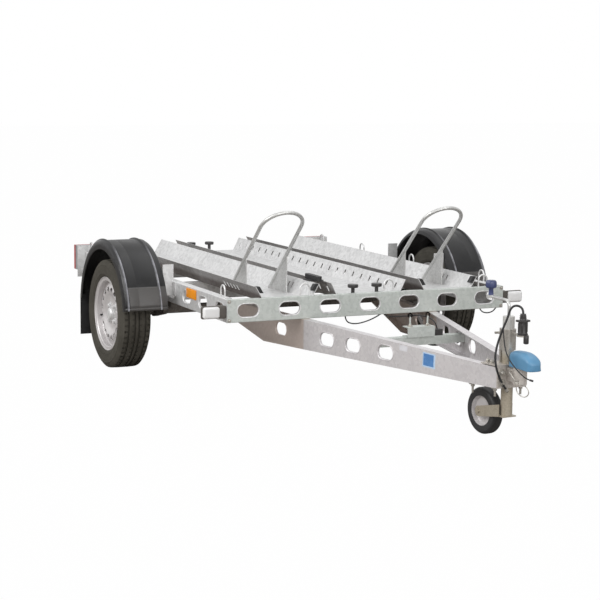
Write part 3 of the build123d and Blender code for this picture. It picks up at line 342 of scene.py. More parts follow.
patchBlue = mouldedMaterial("patchBlue", (0.07, 0.20, 0.46), (0.11, 0.27, 0.54), smooth=0.25, rough=0.4, bump=0.02)
patchPale = mouldedMaterial("patchPale", (0.45, 0.60, 0.78), (0.56, 0.69, 0.84), smooth=0.25, rough=0.4, bump=0.02)
patchFaint = mouldedMaterial("patchFaint", (0.60, 0.60, 0.63), (0.66, 0.66, 0.69), smooth=0.3, rough=0.45, bump=0.02)
clearLens = lensMaterial("clearLens", (0.98, 0.98, 0.98), 90.0, 0.1)
amberLens = lensMaterial("amberLens", (0.95, 0.34, 0.015), 140.0, 0.1)
redLens = lensMaterial("redLens", (0.55, 0.02, 0.015), 110.0, 0.15)

# painted shade: faces of the rails that look downwards are mixed towards a dark brown shadow colour, more strongly low
# down
paintedUnderShade = {"facing": (-0.35, -0.5), "level": (0.455, 0.472), "below": 0.85, "above": 0.4,
              "colour": (0.115, 0.088, 0.082, 1)}


def paintShadeUnder(material, look):
    tree, shader, base, place = reopen(material)
    facing = splitVector(tree, place["Normal"])["Z"]
    low, high = look["facing"]
    under = mathNode(tree, "SUBTRACT", 1.0, remap(tree, facing, high, low, 0.0, 1.0))
    level = remap(tree, splitVector(tree, place["Object"])["Z"], *look["level"], look["below"], look["above"])
    share = mathNode(tree, "MULTIPLY", under, level)
    tree.links.new(mixColour(tree, share, base, look["colour"]), shader.inputs["Base Color"])


# the rails' downward faces get painted shade
paintShadeUnder(zincRail, paintedUnderShade)


# a mask that changes along one direction, for the jockey tube's paler top and the painted brown shade on the beams'
# rear
def makeBandGroup():
    group, entry, leave = newGroup("bandMask", [
        ("Vector", "NodeSocketVector", None), ("Direction", "NodeSocketVector", (0.0, 0.0, 1.0)),
        ("From", "NodeSocketFloat", 0.0), ("To", "NodeSocketFloat", 1.0),
        ("First", "NodeSocketFloat", 0.0), ("Last", "NodeSocketFloat", 1.0)], [("Mask", "NodeSocketFloat")])
    along = addNode(group, "ShaderNodeVectorMath", operation="DOT_PRODUCT")
    group.links.new(entry.outputs["Vector"], along.inputs[0])
    group.links.new(entry.outputs["Direction"], along.inputs[1])
    band = addNode(group, "ShaderNodeMapRange")
    group.links.new(along.outputs["Value"], band.inputs["Value"])
    for label, socket in (("From", "From Min"), ("To", "From Max"), ("First", "To Min"), ("Last", "To Max")):
        group.links.new(entry.outputs[label], band.inputs[socket])
    group.links.new(band.outputs["Result"], leave.inputs["Mask"])
    return group


bandGroup = makeBandGroup()
silverTop = {"colour": (0.60, 0.60, 0.59, 1),
             "band": {"Direction": (0.0, 0.0, 1.0), "From": 0.345, "To": 0.385, "First": 0.0, "Last": 0.85}}
# painted shade: behind the bend the beams are tinted the brown of shadow lit by the warm floor
heelShadePaint = {"colour": (0.60, 0.49, 0.42, 1),
             "band": {"Direction": (1.0, 0.0, 0.0), "From": axleX + 0.955, "To": axleX + 0.968,
                      "First": 0.7, "Last": 0.0}}


def tintAlong(material, look):
    tree, shader, base, place = reopen(material)
    mask = useGroup(tree, bandGroup, place["Object"], look["band"]).outputs["Mask"]
    tree.links.new(mixColour(tree, mask, base, look["colour"]), shader.inputs["Base Color"])


tintAlong(zincTan, silverTop)
# the beams' rear gets painted shade
tintAlong(zincBeam, heelShadePaint)

# painted highlights along the mudguards' ridges at the front, broken up by noise, and a painted reflection that
# lightens the panel at their stepped ends
guardLightPaint = {"ridges": (0.9825, 0.8185), "ridgeCore": 0.0006, "ridgeHalf": 0.0065, "ridgeFrom": 0.10, "ridgeTo": 0.25,
             "ridgeHighlight": (0.34, 0.34, 0.37, 1), "breakScale": 22.0, "breakRange": (0.3, 0.6), "breakLeast": 0.4,
             "panelTop": (0.4355, 0.4375), "panelFront": 0.25, "panelSide": (0.9765, 0.9785),
             "panelReflection": (0.075, 0.072, 0.070, 1)}


def paintGuardLight(material, wear):
    tree, shader, base, place = reopen(material)
    split = splitVector(tree, place["Object"])
    across = mathNode(tree, "ABSOLUTE", split["Y"], 0.0)
    below = remap(tree, split["Z"], *wear["panelTop"], 1.0, 0.0)
    ahead = mathNode(tree, "GREATER_THAN", split["X"], axleX + wear["panelFront"])
    inside = remap(tree, across, *wear["panelSide"], 1.0, 0.0)
    panel = mathNode(tree, "MULTIPLY", mathNode(tree, "MULTIPLY", below, ahead), inside)
    # painted reflection: the panel below the step is lightened
    tinted = mixColour(tree, panel, base, wear["panelReflection"])
    highlightShare = 0.0
    # painted highlight along each ridge
    for ridge in wear["ridges"]:
        near = mathNode(tree, "ABSOLUTE", mathNode(tree, "SUBTRACT", across, ridge), 0.0)
        highlightShare = mathNode(tree, "MAXIMUM", highlightShare, remap(tree, near, wear["ridgeCore"], wear["ridgeHalf"], 1.0, 0.0))
    upper = remap(tree, split["X"], axleX + wear["ridgeFrom"], axleX + wear["ridgeTo"], 0.0, 1.0)
    highlightBreak = addNoise(tree, place["Object"], wear["breakScale"], 3.0)
    highlightBreak = remap(tree, highlightBreak, *wear["breakRange"], wear["breakLeast"], 1.0)
    highlightShare = mathNode(tree, "MULTIPLY", mathNode(tree, "MULTIPLY", highlightShare, upper), highlightBreak)
    tree.links.new(mixColour(tree, highlightShare, tinted, wear["ridgeHighlight"]), shader.inputs["Base Color"])


# the mudguards get painted highlights on the ridges and a painted reflection on the lower panel
paintGuardLight(guardPlastic, guardLightPaint)

finishes = {
    zincPale: ["rear_crossmember", "bearers", "side_member_left", "side_member_right",
               "lashing_loops", "mudguard_stays", "lamp_panel"],
    ironDark: ["axle_tube", "swing_arms"],
    zincFront: ["front_crossmember", "drawbar_tie", "tie_bracket"],
    zincBeam: ["drawbar_beam_left", "drawbar_beam_right"],
    zincRail: ["rail_left", "rail_right", "loading_ramp"],
    zincTube: ["wheel_hoop_left", "wheel_hoop_right", "jockey_crank"],
    zincTan: ["jockey_outer_tube", "jockey_leg", "jockey_fork"],
    castDark: ["drawbar_nose", "coupling_head"],
    boltZinc: ["jockey_clamp", "plug_holder", "safety_wire", "cable_clip"],
    guardPlastic: ["mudguard_left", "mudguard_right"],
    softRubber: ["rail_end_blocks", "mud_flaps", "marker_lamp_arms", "jockey_wheel_tyre", "ramp_latch", "supply_cable",
                 "breakaway_strand", "harness_cables"],
    tyreRubber: ["tyre_left", "tyre_right"],
    skyPlastic: ["coupling_handle"],
    navyPlastic: ["jockey_crank_knob"],
    plugPlastic: ["connector_plug", "ramp_knobs", "harness_connector"],
    greyPlastic: ["tail_lamp_bodies"],
    rimSilver: ["wheel_rim_left", "wheel_rim_right", "jockey_wheel_rim"],
    hubIron: ["wheel_hub_left", "wheel_hub_right"],
    plateWhite: ["number_plate"],
    clearLens: ["marker_lamp_lenses"],
    amberLens: ["side_reflectors"],
    redLens: ["tail_lamp_lenses"],
}
for material, names in finishes.items():
    for name in names:
        data = cadNodes[name].data
        data.materials.clear()
        data.materials.append(material)
print("finishes set")


# piece helpers
def finishPiece(name, bm, material, body, smoothAngle=38.0, replaced=()):
    bmesh.ops.remove_doubles(bm, verts=bm.verts[:], dist=1e-5)
    bmesh.ops.recalc_face_normals(bm, faces=bm.faces[:])
    data = bpy.data.meshes.new(name)
    bm.to_mesh(data)
    bm.free()
    piece = bpy.data.objects.new(name, data)
    scene.collection.objects.link(piece)
    data.materials.append(material)
    for face in data.polygons:
        face.use_smooth = True
    data.set_sharp_from_angle(angle=math.radians(smoothAngle))
    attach(piece, body)
    if replaced:
        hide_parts(*replaced)
    return piece


def spunProfile(bm, points, centre, axis, start, angle, steps):
    # points are (distance from the axis, distance along it); the first lies towards start
    verts = [bm.verts.new(centre + start * radius + axis * along) for radius, along in points]
    edges = [bm.edges.new(pair) for pair in zip(verts, verts[1:])]
    full = abs(angle) >= 2 * math.pi - 1e-6
    bmesh.ops.spin(bm, geom=verts + edges, cent=centre, axis=axis, angle=angle, steps=steps, use_merge=full)


def millimetres(points):
    return [(a / 1000, b / 1000) for a, b in points]


def vertsIn(geom):
    return [item for item in geom if isinstance(item, bmesh.types.BMVert)]


def edgesIn(geom):
    return [item for item in geom if isinstance(item, bmesh.types.BMEdge)]


def edgesOf(verts):
    return list({edge for vert in verts for edge in vert.link_edges})


def roundEdges(bm, verts, radius, segments):
    bmesh.ops.bevel(bm, geom=edgesOf(verts), offset=radius, segments=segments, profile=0.5, affect="EDGES", material=-1)


# road tyres
tyreShape = {
    "steps": 168,
    # radius and offset from the middle, from the inner bead over the tread to the outer bead
    "side": [(170, 55), (182, 63), (186, 69.5), (192, 73), (197, 74.4), (198, 76), (201, 76), (203, 75.4), (214, 78),
             (226, 78.3), (236, 77.2), (238, 78.2), (241, 78), (243, 76), (251, 73), (257, 69.5), (262, 65.5)],
    "tread": [(265.2, 62.5), (266.6, 57), (267.2, 47), (259.5, 46), (259.5, 38), (267.6, 37), (268, 24), (268, 15),
              (259.5, 14), (259.5, 6), (268, 5)],
    # cross cuts in the ribs: how deep, outside which radius, between which offsets, at one step in how many
    "cutDepth": 0.004, "cutOutside": 0.2655, "cutRibs": ((0.047, 0.0625), (0.015, 0.024)), "cutEvery": 3,
}


def makeTyre(hand, side):
    shape = tyreShape
    half = millimetres(shape["side"] + shape["tread"])
    profile = half + [(r, -y) for r, y in reversed(half)]
    bm = bmesh.new()
    centre = at(0, hand * wheelTrack, wheelHeight)
    spunProfile(bm, profile, centre, Vector((0, 1, 0)), Vector((1, 0, 0)), 2 * math.pi, shape["steps"])
    bmesh.ops.remove_doubles(bm, verts=bm.verts[:], dist=1e-5)
    cut = []
    for face in bm.faces:
        middle = face.calc_center_median() - centre
        onRib = any(low < abs(middle.y) < high for low, high in shape["cutRibs"])
        step = int((math.atan2(middle.z, middle.x) + math.pi) / (2 * math.pi) * shape["steps"])
        if math.hypot(middle.x, middle.z) > shape["cutOutside"] and onRib and step % shape["cutEvery"] == 0:
            cut.append(face)
    for face in bmesh.ops.extrude_discrete_faces(bm, faces=cut)["faces"]:
        middle = face.calc_center_median() - centre
        inward = Vector((middle.x, 0, middle.z)).normalized() * -shape["cutDepth"]
        bmesh.ops.translate(bm, verts=list(face.verts), vec=inward)
    name = "tyre_" + side
    finishPiece(name + ".tread", bm, tyreRubber, "wheel_" + side, 32.0, (name,))


for hand, side in sides:
    makeTyre(hand, side)
print("tyres made")


# mudguards: a skin spun over the wheel, with a sunk panel between two ridges and a stepped front end
guardShape = {
    "wall": 0.004, "startAngle": 9.6, "endAngle": 173.5, "steps": 164,
    # the panel between the ridges sinks above the step and rises below it
    "panelInner": 0.8245, "panelOuter": 0.9745, "stepAngle": 27.0, "panelSink": 0.0030, "panelRise": 0.0032,
    # grooves across the lower end, in degrees
    "grooveEnd": 12.8, "groovePitch": 1.9, "grooveDepth": 0.0035, "betweenDepth": 0.0005,
    # radius and distance from the middle of the trailer, from the outer skirt to the inner lip
    "skin": [(319, 998), (322, 1000), (336, 1000), (348, 999), (357, 996), (362, 991), (364.5, 987.5), (369.8, 985),
             (371, 982.5), (370.6, 980), (367, 977), (366.6, 974), (366.6, 931), (366, 929), (366, 926.5),
             (366.6, 924.5), (366.6, 825), (367, 822.5), (370.6, 820.5), (371, 818), (370.2, 815.8), (366, 813.5),
             (365.5, 804), (363, 792), (356, 782), (345, 777), (338, 776.5)],
}


def makeGuard(hand, side):
    shape = guardShape
    bm = bmesh.new()
    centre = at(0, 0, wheelHeight)
    first = math.radians(shape["startAngle"])
    start = Vector((math.cos(first), 0, math.sin(first)))
    sweep = math.radians(shape["endAngle"] - shape["startAngle"])
    spunProfile(bm, millimetres(shape["skin"]), centre, Vector((0, 1, 0)), start, -sweep, shape["steps"])
    for vert in bm.verts:
        reach = vert.co - centre
        angle = math.degrees(math.atan2(reach.z, reach.x))
        grow = 0.0
        if shape["panelInner"] < reach.y < shape["panelOuter"]:
            grow = shape["panelRise"] if angle < shape["stepAngle"] else -shape["panelSink"]
        if angle < shape["grooveEnd"] and reach.x > 0:
            inGroove = (angle - shape["startAngle"]) % shape["groovePitch"] < shape["groovePitch"] / 2
            grow -= shape["grooveDepth"] if inGroove else shape["betweenDepth"]
        vert.co += Vector((reach.x, 0, reach.z)).normalized() * grow
        vert.co.y *= hand
    bmesh.ops.recalc_face_normals(bm, faces=bm.faces[:])
    outside = sum(face.normal.dot(face.calc_center_median() - centre) for face in bm.faces if abs(face.normal.y) < 0.3)
    if outside < 0:
        bmesh.ops.reverse_faces(bm, faces=bm.faces[:])
    bmesh.ops.solidify(bm, geom=bm.faces[:] + bm.edges[:] + bm.verts[:], thickness=shape["wall"])
    name = "mudguard_" + side
    finishPiece(name + ".skin", bm, guardPlastic, "chassis", 24.0, (name,))


for hand, side in sides:
    makeGuard(hand, side)
print("mudguards made")


# cords: the routes of the cables, in millimetres, as smooth lines
cordRoutes = {
    "supplyCable": {"replaces": "supply_cable", "diameter": 0.009, "points": [
        (2267, 0, 532), (2267, 0, 548), (2256, -11, 563), (2240, -27, 563), (2229, -38, 546), (2226, -46, 513),
        (2218, -59, 475), (2208, -69, 434), (2203, -79, 395), (2203, -86, 354), (2206, -82, 314), (2207, -71, 282),
        (2206, -55, 252), (2206.5, -38, 227), (2206, -24, 208)]},
    "breakawayStrand": {"replaces": "breakaway_strand", "diameter": 0.005, "points": [
        (2223.3, -63.7, 470), (2226, -62, 440), (2231, -61, 408), (2244, -60, 376), (2265, -58, 352),
        (2292, -55, 331), (2320, -50, 313), (2345, -42, 297), (2360, -31, 286), (2365, -15, 281)]},
    "safetyWire": {"replaces": "safety_wire", "diameter": 0.004, "points": [
        (2236, -27, 298), (2236, -36, 298), (2246, -42, 294), (2259, -41, 286), (2272, -40, 277), (2283, -38, 264),
        (2287, -36, 248), (2285, -33, 229), (2293, -27, 213), (2311, -18, 205), (2329, -10, 210), (2337, -6, 228),
        (2330, -12, 246), (2313, -23, 256), (2295, -32, 262)]},
    "nearLoop": {"replaces": "harness_cables", "diameter": 0.006, "points": [
        (925, -121, 342), (925, -116, 318), (925, -92, 305), (925, -62, 302), (925, -30, 306), (925, 5, 315),
        (925, 40, 328), (925, 66, 342)]},
    "farLoop": {"replaces": "harness_cables", "diameter": 0.006, "points": [
        (925, 603, 342), (925, 612, 328), (925, 628, 320), (925, 648, 317), (925, 668, 320), (925, 684, 328),
        (925, 695, 342)]},
    "tieLead": {"replaces": "harness_cables", "diameter": 0.006, "points": [
        (1385, 110, 337), (1384, 107, 352), (1374, 102, 368), (1350, 96, 380), (1312, 91, 384), (1265, 88, 381),
        (1215, 87, 375), (1165, 85, 365), (1115, 87, 358), (1065, 85, 347), (1015, 86, 341), (972, 87, 335),
        (942, 86, 334), (925, 86, 342)]},
}


def makeCord(name, material):
    route = cordRoutes[name]
    data = bpy.data.curves.new(name, "CURVE")
    data.dimensions = "3D"
    data.bevel_depth = route["diameter"] / 2
    data.bevel_resolution = 4
    data.resolution_u = 12
    data.use_fill_caps = True
    line = data.splines.new("NURBS")
    line.points.add(len(route["points"]) - 1)
    for point, place in zip(line.points, route["points"]):
        point.co = (*atMillimetres(*place), 1)
    line.order_u = 3
    line.use_endpoint_u = True
    data.materials.append(material)
    cord = bpy.data.objects.new(name, data)
    scene.collection.objects.link(cord)
    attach(cord, "chassis")
    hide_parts(route["replaces"])
    return cord


supplyCable = makeCord("supplyCable", softRubber)
breakawayStrand = makeCord("breakawayStrand", softRubber)
safetyWire = makeCord("safetyWire", boltZinc)
for name in ("nearLoop", "farLoop", "tieLead"):
    makeCord(name, softRubber)
print("cables laid")


# turned pieces, hexagonal bolts and rounded blocks
def addTurned(bm, points, place, axis, steps=32, start=None):
    # points are (distance along the axis, radius)
    if start is None:
        start = axis.orthogonal().normalized()
    spunProfile(bm, [(radius, along) for along, radius in points], place, axis, start, 2 * math.pi, steps)


def addCone(bm, base, low, high, radius, tip, segments):
    middle = base @ Matrix.Translation((0, 0, (low + high) / 2))
    return bmesh.ops.create_cone(bm, cap_ends=True, segments=segments, radius1=radius, radius2=tip, depth=high - low,
                                 matrix=middle)["verts"]


# shares of a bolt's size across
boltForm = {"washer": 0.14, "head": 0.58, "chamfer": 0.06, "shank": 0.3, "shankEnd": 0.27}


def addHexBolt(bm, place, axis, across, height, tail=0.0):
    base = Matrix.Translation(place) @ axis.to_track_quat("Z", "Y").to_matrix().to_4x4()
    lift = boltForm["washer"] * across
    addCone(bm, base, 0, lift, across, across, 28)
    radius, top = across * boltForm["head"], lift + height
    head = addCone(bm, base, lift, top, radius, radius, 6)
    roundEdges(bm, head, boltForm["chamfer"] * across, 2)
    if tail:
        addCone(bm, base, top, top + tail, across * boltForm["shank"], across * boltForm["shankEnd"], 20)


def addBlock(bm, low, high, bevel, segments=3, turn=None):
    # a rounded block between two corners, given in millimetres from the axle line
    low, high = atMillimetres(*low), atMillimetres(*high)
    base = Matrix.Translation((low + high) / 2) @ (turn or Matrix()) @ Matrix.Diagonal((*(high - low), 1))
    roundEdges(bm, bmesh.ops.create_cube(bm, size=1.0, matrix=base)["verts"], bevel / 1000, segments)


def addSideBlock(bm, hand, low, high, bevel, segments=3):
    # its corners are given for the trailer's left side
    near, far = sorted((low[1] * hand, high[1] * hand))
    addBlock(bm, (low[0], near, low[2]), (high[0], far, high[2]), bevel, segments)


# rims: the barrel, a dished disc with rounded slots near its edge, and a sleeve back to the hub
rimShape = {
    "slots": 16, "stepsPerSlot": 14, "slotHalf": 4, "slotRings": (3, 8), "roundness": 3.0, "wall": 0.004,
    "barrelSteps": 128,
    "barrel": [(182.5, -68), (182.5, -62), (178, -60.5), (170, -60), (166, -56), (166, -34), (163, -31), (152, -25),
               (150, -22), (150, 22), (152, 25), (163, 31), (166, 34), (166, 56), (170, 60), (178, 60.5), (182.5, 62),
               (182.5, 67), (181, 68.3), (179, 68), (178, 65), (175.5, 64), (166.5, 63.5), (162.5, 60), (162, 56),
               (162, 37), (158, 33), (149, 29), (146, 24), (146, -24), (149, -29), (158, -33), (162, -37), (162, -56),
               (166, -64), (178, -65), (179, -68)],
    "disc": [(158, 35), (150, 37), (142, 41.5), (133, 46.5), (128, 48.5), (123, 49.6), (118, 50), (113, 49.6),
             (108, 48.6), (101, 45.5), (94, 41), (86, 36.5), (79, 34.2), (72, 33.4), (60, 33), (45, 33), (33, 33)],
    "sleeve": [(31, -25), (49, -25), (49, 30), (31, 30)],
}


def slottedSpot(shape, step, radius, middle, reach):
    # points on a slot's border move onto a rounded outline; the rest stay
    u, v = step / shape["slotHalf"], (radius - middle) / reach
    if max(abs(u), abs(v)) <= 0.99:
        return radius, 0.0
    power = shape["roundness"]
    pull = 1 / (abs(u) ** power + abs(v) ** power) ** (1 / power)
    return middle + v * reach * pull, (u * pull - u) * shape["slotHalf"]


def makeRim(hand, side):
    shape = rimShape
    bm = bmesh.new()
    centre = at(0, hand * wheelTrack, wheelHeight)
    out = Vector((0, hand, 0))
    for part in ("barrel", "sleeve"):
        profile = millimetres(shape[part])
        spunProfile(bm, profile + profile[:1], centre, out, Vector((1, 0, 0)), 2 * math.pi, shape["barrelSteps"])
    count = shape["slots"] * shape["stepsPerSlot"]
    steps = [k % shape["stepsPerSlot"] - shape["stepsPerSlot"] / 2 for k in range(count)]
    low, high = shape["slotRings"]
    disc = millimetres(shape["disc"])
    middle = (disc[low][0] + disc[high][0]) / 2
    reach = (disc[low][0] - disc[high][0]) / 2
    rings = []
    for number, (radius, across) in enumerate(disc):
        ring = []
        for k, step in enumerate(steps):
            r, shift = radius, 0.0
            if low <= number <= high and abs(step) <= shape["slotHalf"]:
                r, shift = slottedSpot(shape, step, radius, middle, reach)
            angle = 2 * math.pi * (k + shift) / count
            ring.append(bm.verts.new(centre + Vector((math.cos(angle) * r, 0, math.sin(angle) * r)) + out * across))
        rings.append(ring)
    flat = []
    for number, (outer, inner) in enumerate(zip(rings, rings[1:])):
        for k, step in enumerate(steps):
            if low <= number < high and -shape["slotHalf"] <= step < shape["slotHalf"]:
                continue
            n = (k + 1) % count
            flat.append(bm.faces.new((outer[k], outer[n], inner[n], inner[k])))
    for face in flat:
        face.normal_update()
        if face.normal.dot(out) < 0:
            face.normal_flip()
    verts = list({v for f in flat for v in f.verts})
    edges = list({e for f in flat for e in f.edges})
    for vert in verts:
        vert.normal_update()
    bmesh.ops.solidify(bm, geom=flat + edges + verts, thickness=shape["wall"])
    finishPiece("wheelRim." + side, bm, rimSilver, "wheel_" + side, 30.0, ("wheel_rim_" + side,))


for hand, side in sides:
    makeRim(hand, side)

# wheel fittings: bolts, a dust cap and a valve on each wheel, in millimetres
wheelFittings = {
    "discFace": 942, "bolts": 4, "firstBolt": 45, "boltCircle": 50, "boltAcross": 19, "boltHeight": 11,
    "cap": [(0, 36), (3, 36), (4, 31), (14, 30), (19, 27), (22.5, 20), (24, 9), (24.2, 0.01)],
    "valve": [(-4, 0.01), (-4, 6), (6, 5.5), (8, 4), (17, 3.6), (18, 4.6), (26, 4.4), (26.5, 0.01)],
    "valvePlace": (-136, 939, 244), "valveLean": 0.35,
}


def makeWheelFittings(hand, side):
    shape = wheelFittings
    out = Vector((0, hand, 0))
    middle = at(0, hand * shape["discFace"] / 1000, wheelHeight)
    bm = bmesh.new()
    for k in range(shape["bolts"]):
        angle = math.radians(shape["firstBolt"] + 360 / shape["bolts"] * k)
        spot = middle + Vector((math.cos(angle), 0, math.sin(angle))) * shape["boltCircle"] / 1000
        addHexBolt(bm, spot, out, shape["boltAcross"] / 1000, shape["boltHeight"] / 1000)
    addTurned(bm, millimetres(shape["cap"]), middle, out)
    finishPiece("wheelFittings." + side, bm, zincPale, "wheel_" + side)
    bm = bmesh.new()
    x, y, z = shape["valvePlace"]
    addTurned(bm, millimetres(shape["valve"]), atMillimetres(x, hand * y, z),
              Vector((shape["valveLean"], hand, 0)).normalized())
    finishPiece("tyreValve." + side, bm, softRubber, "wheel_" + side)


for hand, side in sides:
    makeWheelFittings(hand, side)

# bolts on the frame, the drawbar and the nose: place in millimetres, direction, size, tail
bolts = [
    (943, -711, 438, "x", 9, 4, 0), (943, -711, 352, "x", 9, 4, 0), (943, 711, 438, "x", 9, 4, 0),
    (943, 711, 352, "x", 9, 4, 0), (2198, -48, 245, "x", 17, 8, 6), (2198, -48, 285, "x", 17, 8, 6),
    (2198, 48, 245, "x", 17, 8, 6), (2198, 48, 285, "x", 17, 8, 6), (2140, -60, 317, "z", 16, 9, 5),
    (2140, 60, 317, "z", 16, 9, 5), (2108, -60, 317, "z", 16, 9, 5), (2108, 60, 317, "z", 16, 9, 5),
    (2040, -88, 218, "-z", 16, 9, 26), (2040, 88, 218, "-z", 16, 9, 26), (2168, -60, 221, "-z", 16, 9, 24),
    (2168, 60, 221, "-z", 16, 9, 24),
]
boltWays = {"x": Vector((1, 0, 0)), "z": Vector((0, 0, 1)), "-z": Vector((0, 0, -1))}


def makeBolts():
    bm = bmesh.new()
    for x, y, z, way, across, height, tail in bolts:
        addHexBolt(bm, atMillimetres(x, y, z), boltWays[way], across / 1000, height / 1000, tail / 1000)
    finishPiece("frameBolts", bm, boltZinc, "chassis")


makeBolts()

# pressed edges round the oblong holes: a bead on the face that rolls into the hole
collarShape = {
    "edge": [(4.4, 0.0), (4.0, 0.8), (2.8, 1.2), (1.2, 1.0), (-0.2, 0.3), (-1.1, -1.0), (-1.6, -3.5), (-1.7, -9.0)],
    "steps": 14, "frameHole": (105, 60), "frameZ": 395, "frontX": 943, "sideY": 721,
    "frontY": [-618, -412, -206, 0, 206, 412, 618], "sideX": [850 - 206 * k for k in range(10)],
    # the beams' holes before and behind the bend, each row with its slope in plan
    "beamHole": (102.6, 62), "beamZ": 271, "beamBend": (965, 350),
    "beamRows": [([1127, 1306, 1522], 0.2302), ([760], 0.114)],
}


def extruded(bm, edges, step):
    # draws the edges along and gives the new border
    grown = bmesh.ops.extrude_edge_only(bm, edges=edges)["geom"]
    ahead = vertsIn(grown)
    bmesh.ops.translate(bm, verts=ahead, vec=step)
    return ahead + edgesIn(grown)


def addCollar(bm, place, out, across, size):
    # place is the hole's middle on the face, out the way that the face looks, across the hole's long way
    shape = collarShape
    length, height = size[0] / 1000, size[1] / 1000
    half = height / 2
    run = across * (length - height)
    up = out.cross(across).normalized()
    first = place - run / 2
    loop = [bm.verts.new(first + up * (half + grow) + out * lift) for grow, lift in millimetres(shape["edge"])]
    chain = loop + [bm.edges.new(pair) for pair in zip(loop, loop[1:])]
    for centre, step in ((first, run), (first + run, -run)):
        turned = bmesh.ops.spin(bm, geom=chain, cent=centre, axis=out, angle=math.pi, steps=shape["steps"])["geom_last"]
        chain = extruded(bm, edgesIn(turned), step)


def makeCollars():
    shape = collarShape
    fronts, others, beams = bmesh.new(), bmesh.new(), bmesh.new()
    for y in shape["frontY"]:
        addCollar(fronts, atMillimetres(shape["frontX"], y, shape["frameZ"]), Vector((1, 0, 0)), Vector((0, 1, 0)),
                  shape["frameHole"])
    bendX, bendY = shape["beamBend"]
    for hand, side in sides:
        for x in shape["sideX"]:
            addCollar(others, atMillimetres(x, hand * shape["sideY"], shape["frameZ"]), Vector((0, hand, 0)),
                      Vector((1, 0, 0)), shape["frameHole"])
        for places, slope in shape["beamRows"]:
            along = Vector((1, -hand * slope, 0)).normalized()
            out = Vector((0, 0, 1)).cross(along) * hand
            for x in places:
                place = atMillimetres(x, hand * (bendY - slope * (x - bendX)), shape["beamZ"])
                addCollar(beams, place, out, along, shape["beamHole"])
    finishPiece("frontCollars", fronts, zincPale, "chassis", 60.0)
    finishPiece("sideCollars", others, zincPale, "chassis", 60.0)
    finishPiece("beamCollars", beams, zincBeam, "chassis", 60.0)


makeCollars()

# wheel hoops: a bent tube that leans forward, with a triangular gusset plate at each foot
hoopShape = {"footX": 495, "floorZ": 430, "middleY": 419, "half": 103, "lean": 43, "top": 831, "tube": 9.0,
             "gussetRise": 185, "gussetWall": 5, "tubeSides": 20, "archSteps": 40}


def makeHoop(hand, side):
    shape = hoopShape
    bm = bmesh.new()
    lean = math.radians(shape["lean"])
    way = Vector((math.cos(lean), 0, math.sin(lean)))
    half = shape["half"] / 1000
    leg = (shape["top"] - shape["floorZ"]) / 1000 / math.sin(lean) - half
    foot = atMillimetres(shape["footX"], hand * shape["middleY"], shape["floorZ"])
    across = Vector((0, half, 0))
    base = Matrix.Translation(foot - across) @ way.to_track_quat("Z", "Y").to_matrix().to_4x4()
    ring = bmesh.ops.create_circle(bm, segments=shape["tubeSides"], radius=shape["tube"] / 1000, matrix=base)["verts"]
    chain = extruded(bm, edgesOf(ring), way * leg)
    turned = bmesh.ops.spin(bm, geom=chain, cent=foot + way * leg, axis=way.cross(across).normalized(), angle=math.pi,
                            steps=shape["archSteps"])["geom_last"]
    extruded(bm, edgesIn(turned), way * -leg)
    bmesh.ops.holes_fill(bm, edges=[e for e in bm.edges if e.is_boundary])
    rise, wall = shape["gussetRise"] / 1000, shape["gussetWall"] / 1000
    run = rise / math.tan(lean)
    for edge in (-1, 1):
        low = foot + Vector((0, edge * half - wall / 2, 0))
        corners = [low, low + Vector((run, 0, 0)), low + Vector((run, 0, rise))]
        plate = bm.faces.new([bm.verts.new(corner) for corner in corners])
        raised = bmesh.ops.extrude_face_region(bm, geom=[plate])["geom"]
        bmesh.ops.translate(bm, verts=vertsIn(raised), vec=(0, wall, 0))
    finishPiece("wheelHoop." + side, bm, zincTube, "chassis", 40.0, ("wheel_hoop_" + side,))


for hand, side in sides:
    makeHoop(hand, side)

# towing handle: a rounded shell that falls away to the front
handleShape = {"low": (2208, -32, 313), "high": (2372, 32, 383), "corner": 24, "cornerSteps": 8, "longEdge": 0.02,
               "cuts": 9, "skirt": 0.024, "skirtShare": 0.25, "skirtFlare": 1.12, "fallFrom": 2300, "fall": 0.42,
               "backFall": 0.10, "smooth": 0.4}


def makeHandle():
    shape = handleShape
    bm = bmesh.new()
    addBlock(bm, shape["low"], shape["high"], shape["corner"], shape["cornerSteps"])
    longEdges = [e for e in bm.edges if e.calc_length() > shape["longEdge"]]
    bmesh.ops.subdivide_edges(bm, edges=longEdges, cuts=shape["cuts"], use_grid_fill=True)
    low, high = atMillimetres(*shape["low"]), atMillimetres(*shape["high"])
    fallFrom = shape["fallFrom"] / 1000 + axleX
    for vert in bm.verts:
        rise = vert.co.z - low.z
        if rise < shape["skirt"]:
            vert.co.z = low.z + rise * shape["skirtShare"]
            vert.co.y = high.y * max(-1, min(1, vert.co.y / high.y * shape["skirtFlare"]))
        along = (vert.co.x - fallFrom) / (high.x - fallFrom)
        if along > 0:
            vert.co.z = low.z + (vert.co.z - low.z) * (1 - shape["fall"] * along ** 2)
        back = (fallFrom - vert.co.x) / (fallFrom - low.x)
        if back > 0:
            vert.co.z = low.z + (vert.co.z - low.z) * (1 - shape["backFall"] * back ** 2)
    bmesh.ops.smooth_vert(bm, verts=bm.verts[:], factor=shape["smooth"], use_axis_x=True, use_axis_y=True,
                          use_axis_z=True)
    finishPiece("couplingHandle.shell", bm, skyPlastic, "chassis", 50.0, ("coupling_handle",))


makeHandle()

# crank knob: a stem and a fluted head
knobShape = {"foot": (2018, 0, 576.5), "steps": 96, "flutes": 8, "flutedFrom": 0.018, "fluteDepth": 0.075,
             "profile": [(0, 0.01), (0, 11), (4, 10.5), (24, 9.5), (27, 12), (29, 19), (32, 22.3), (38, 23), (50, 23),
                         (56, 21.5), (60, 17), (61, 9), (61, 0.01)]}


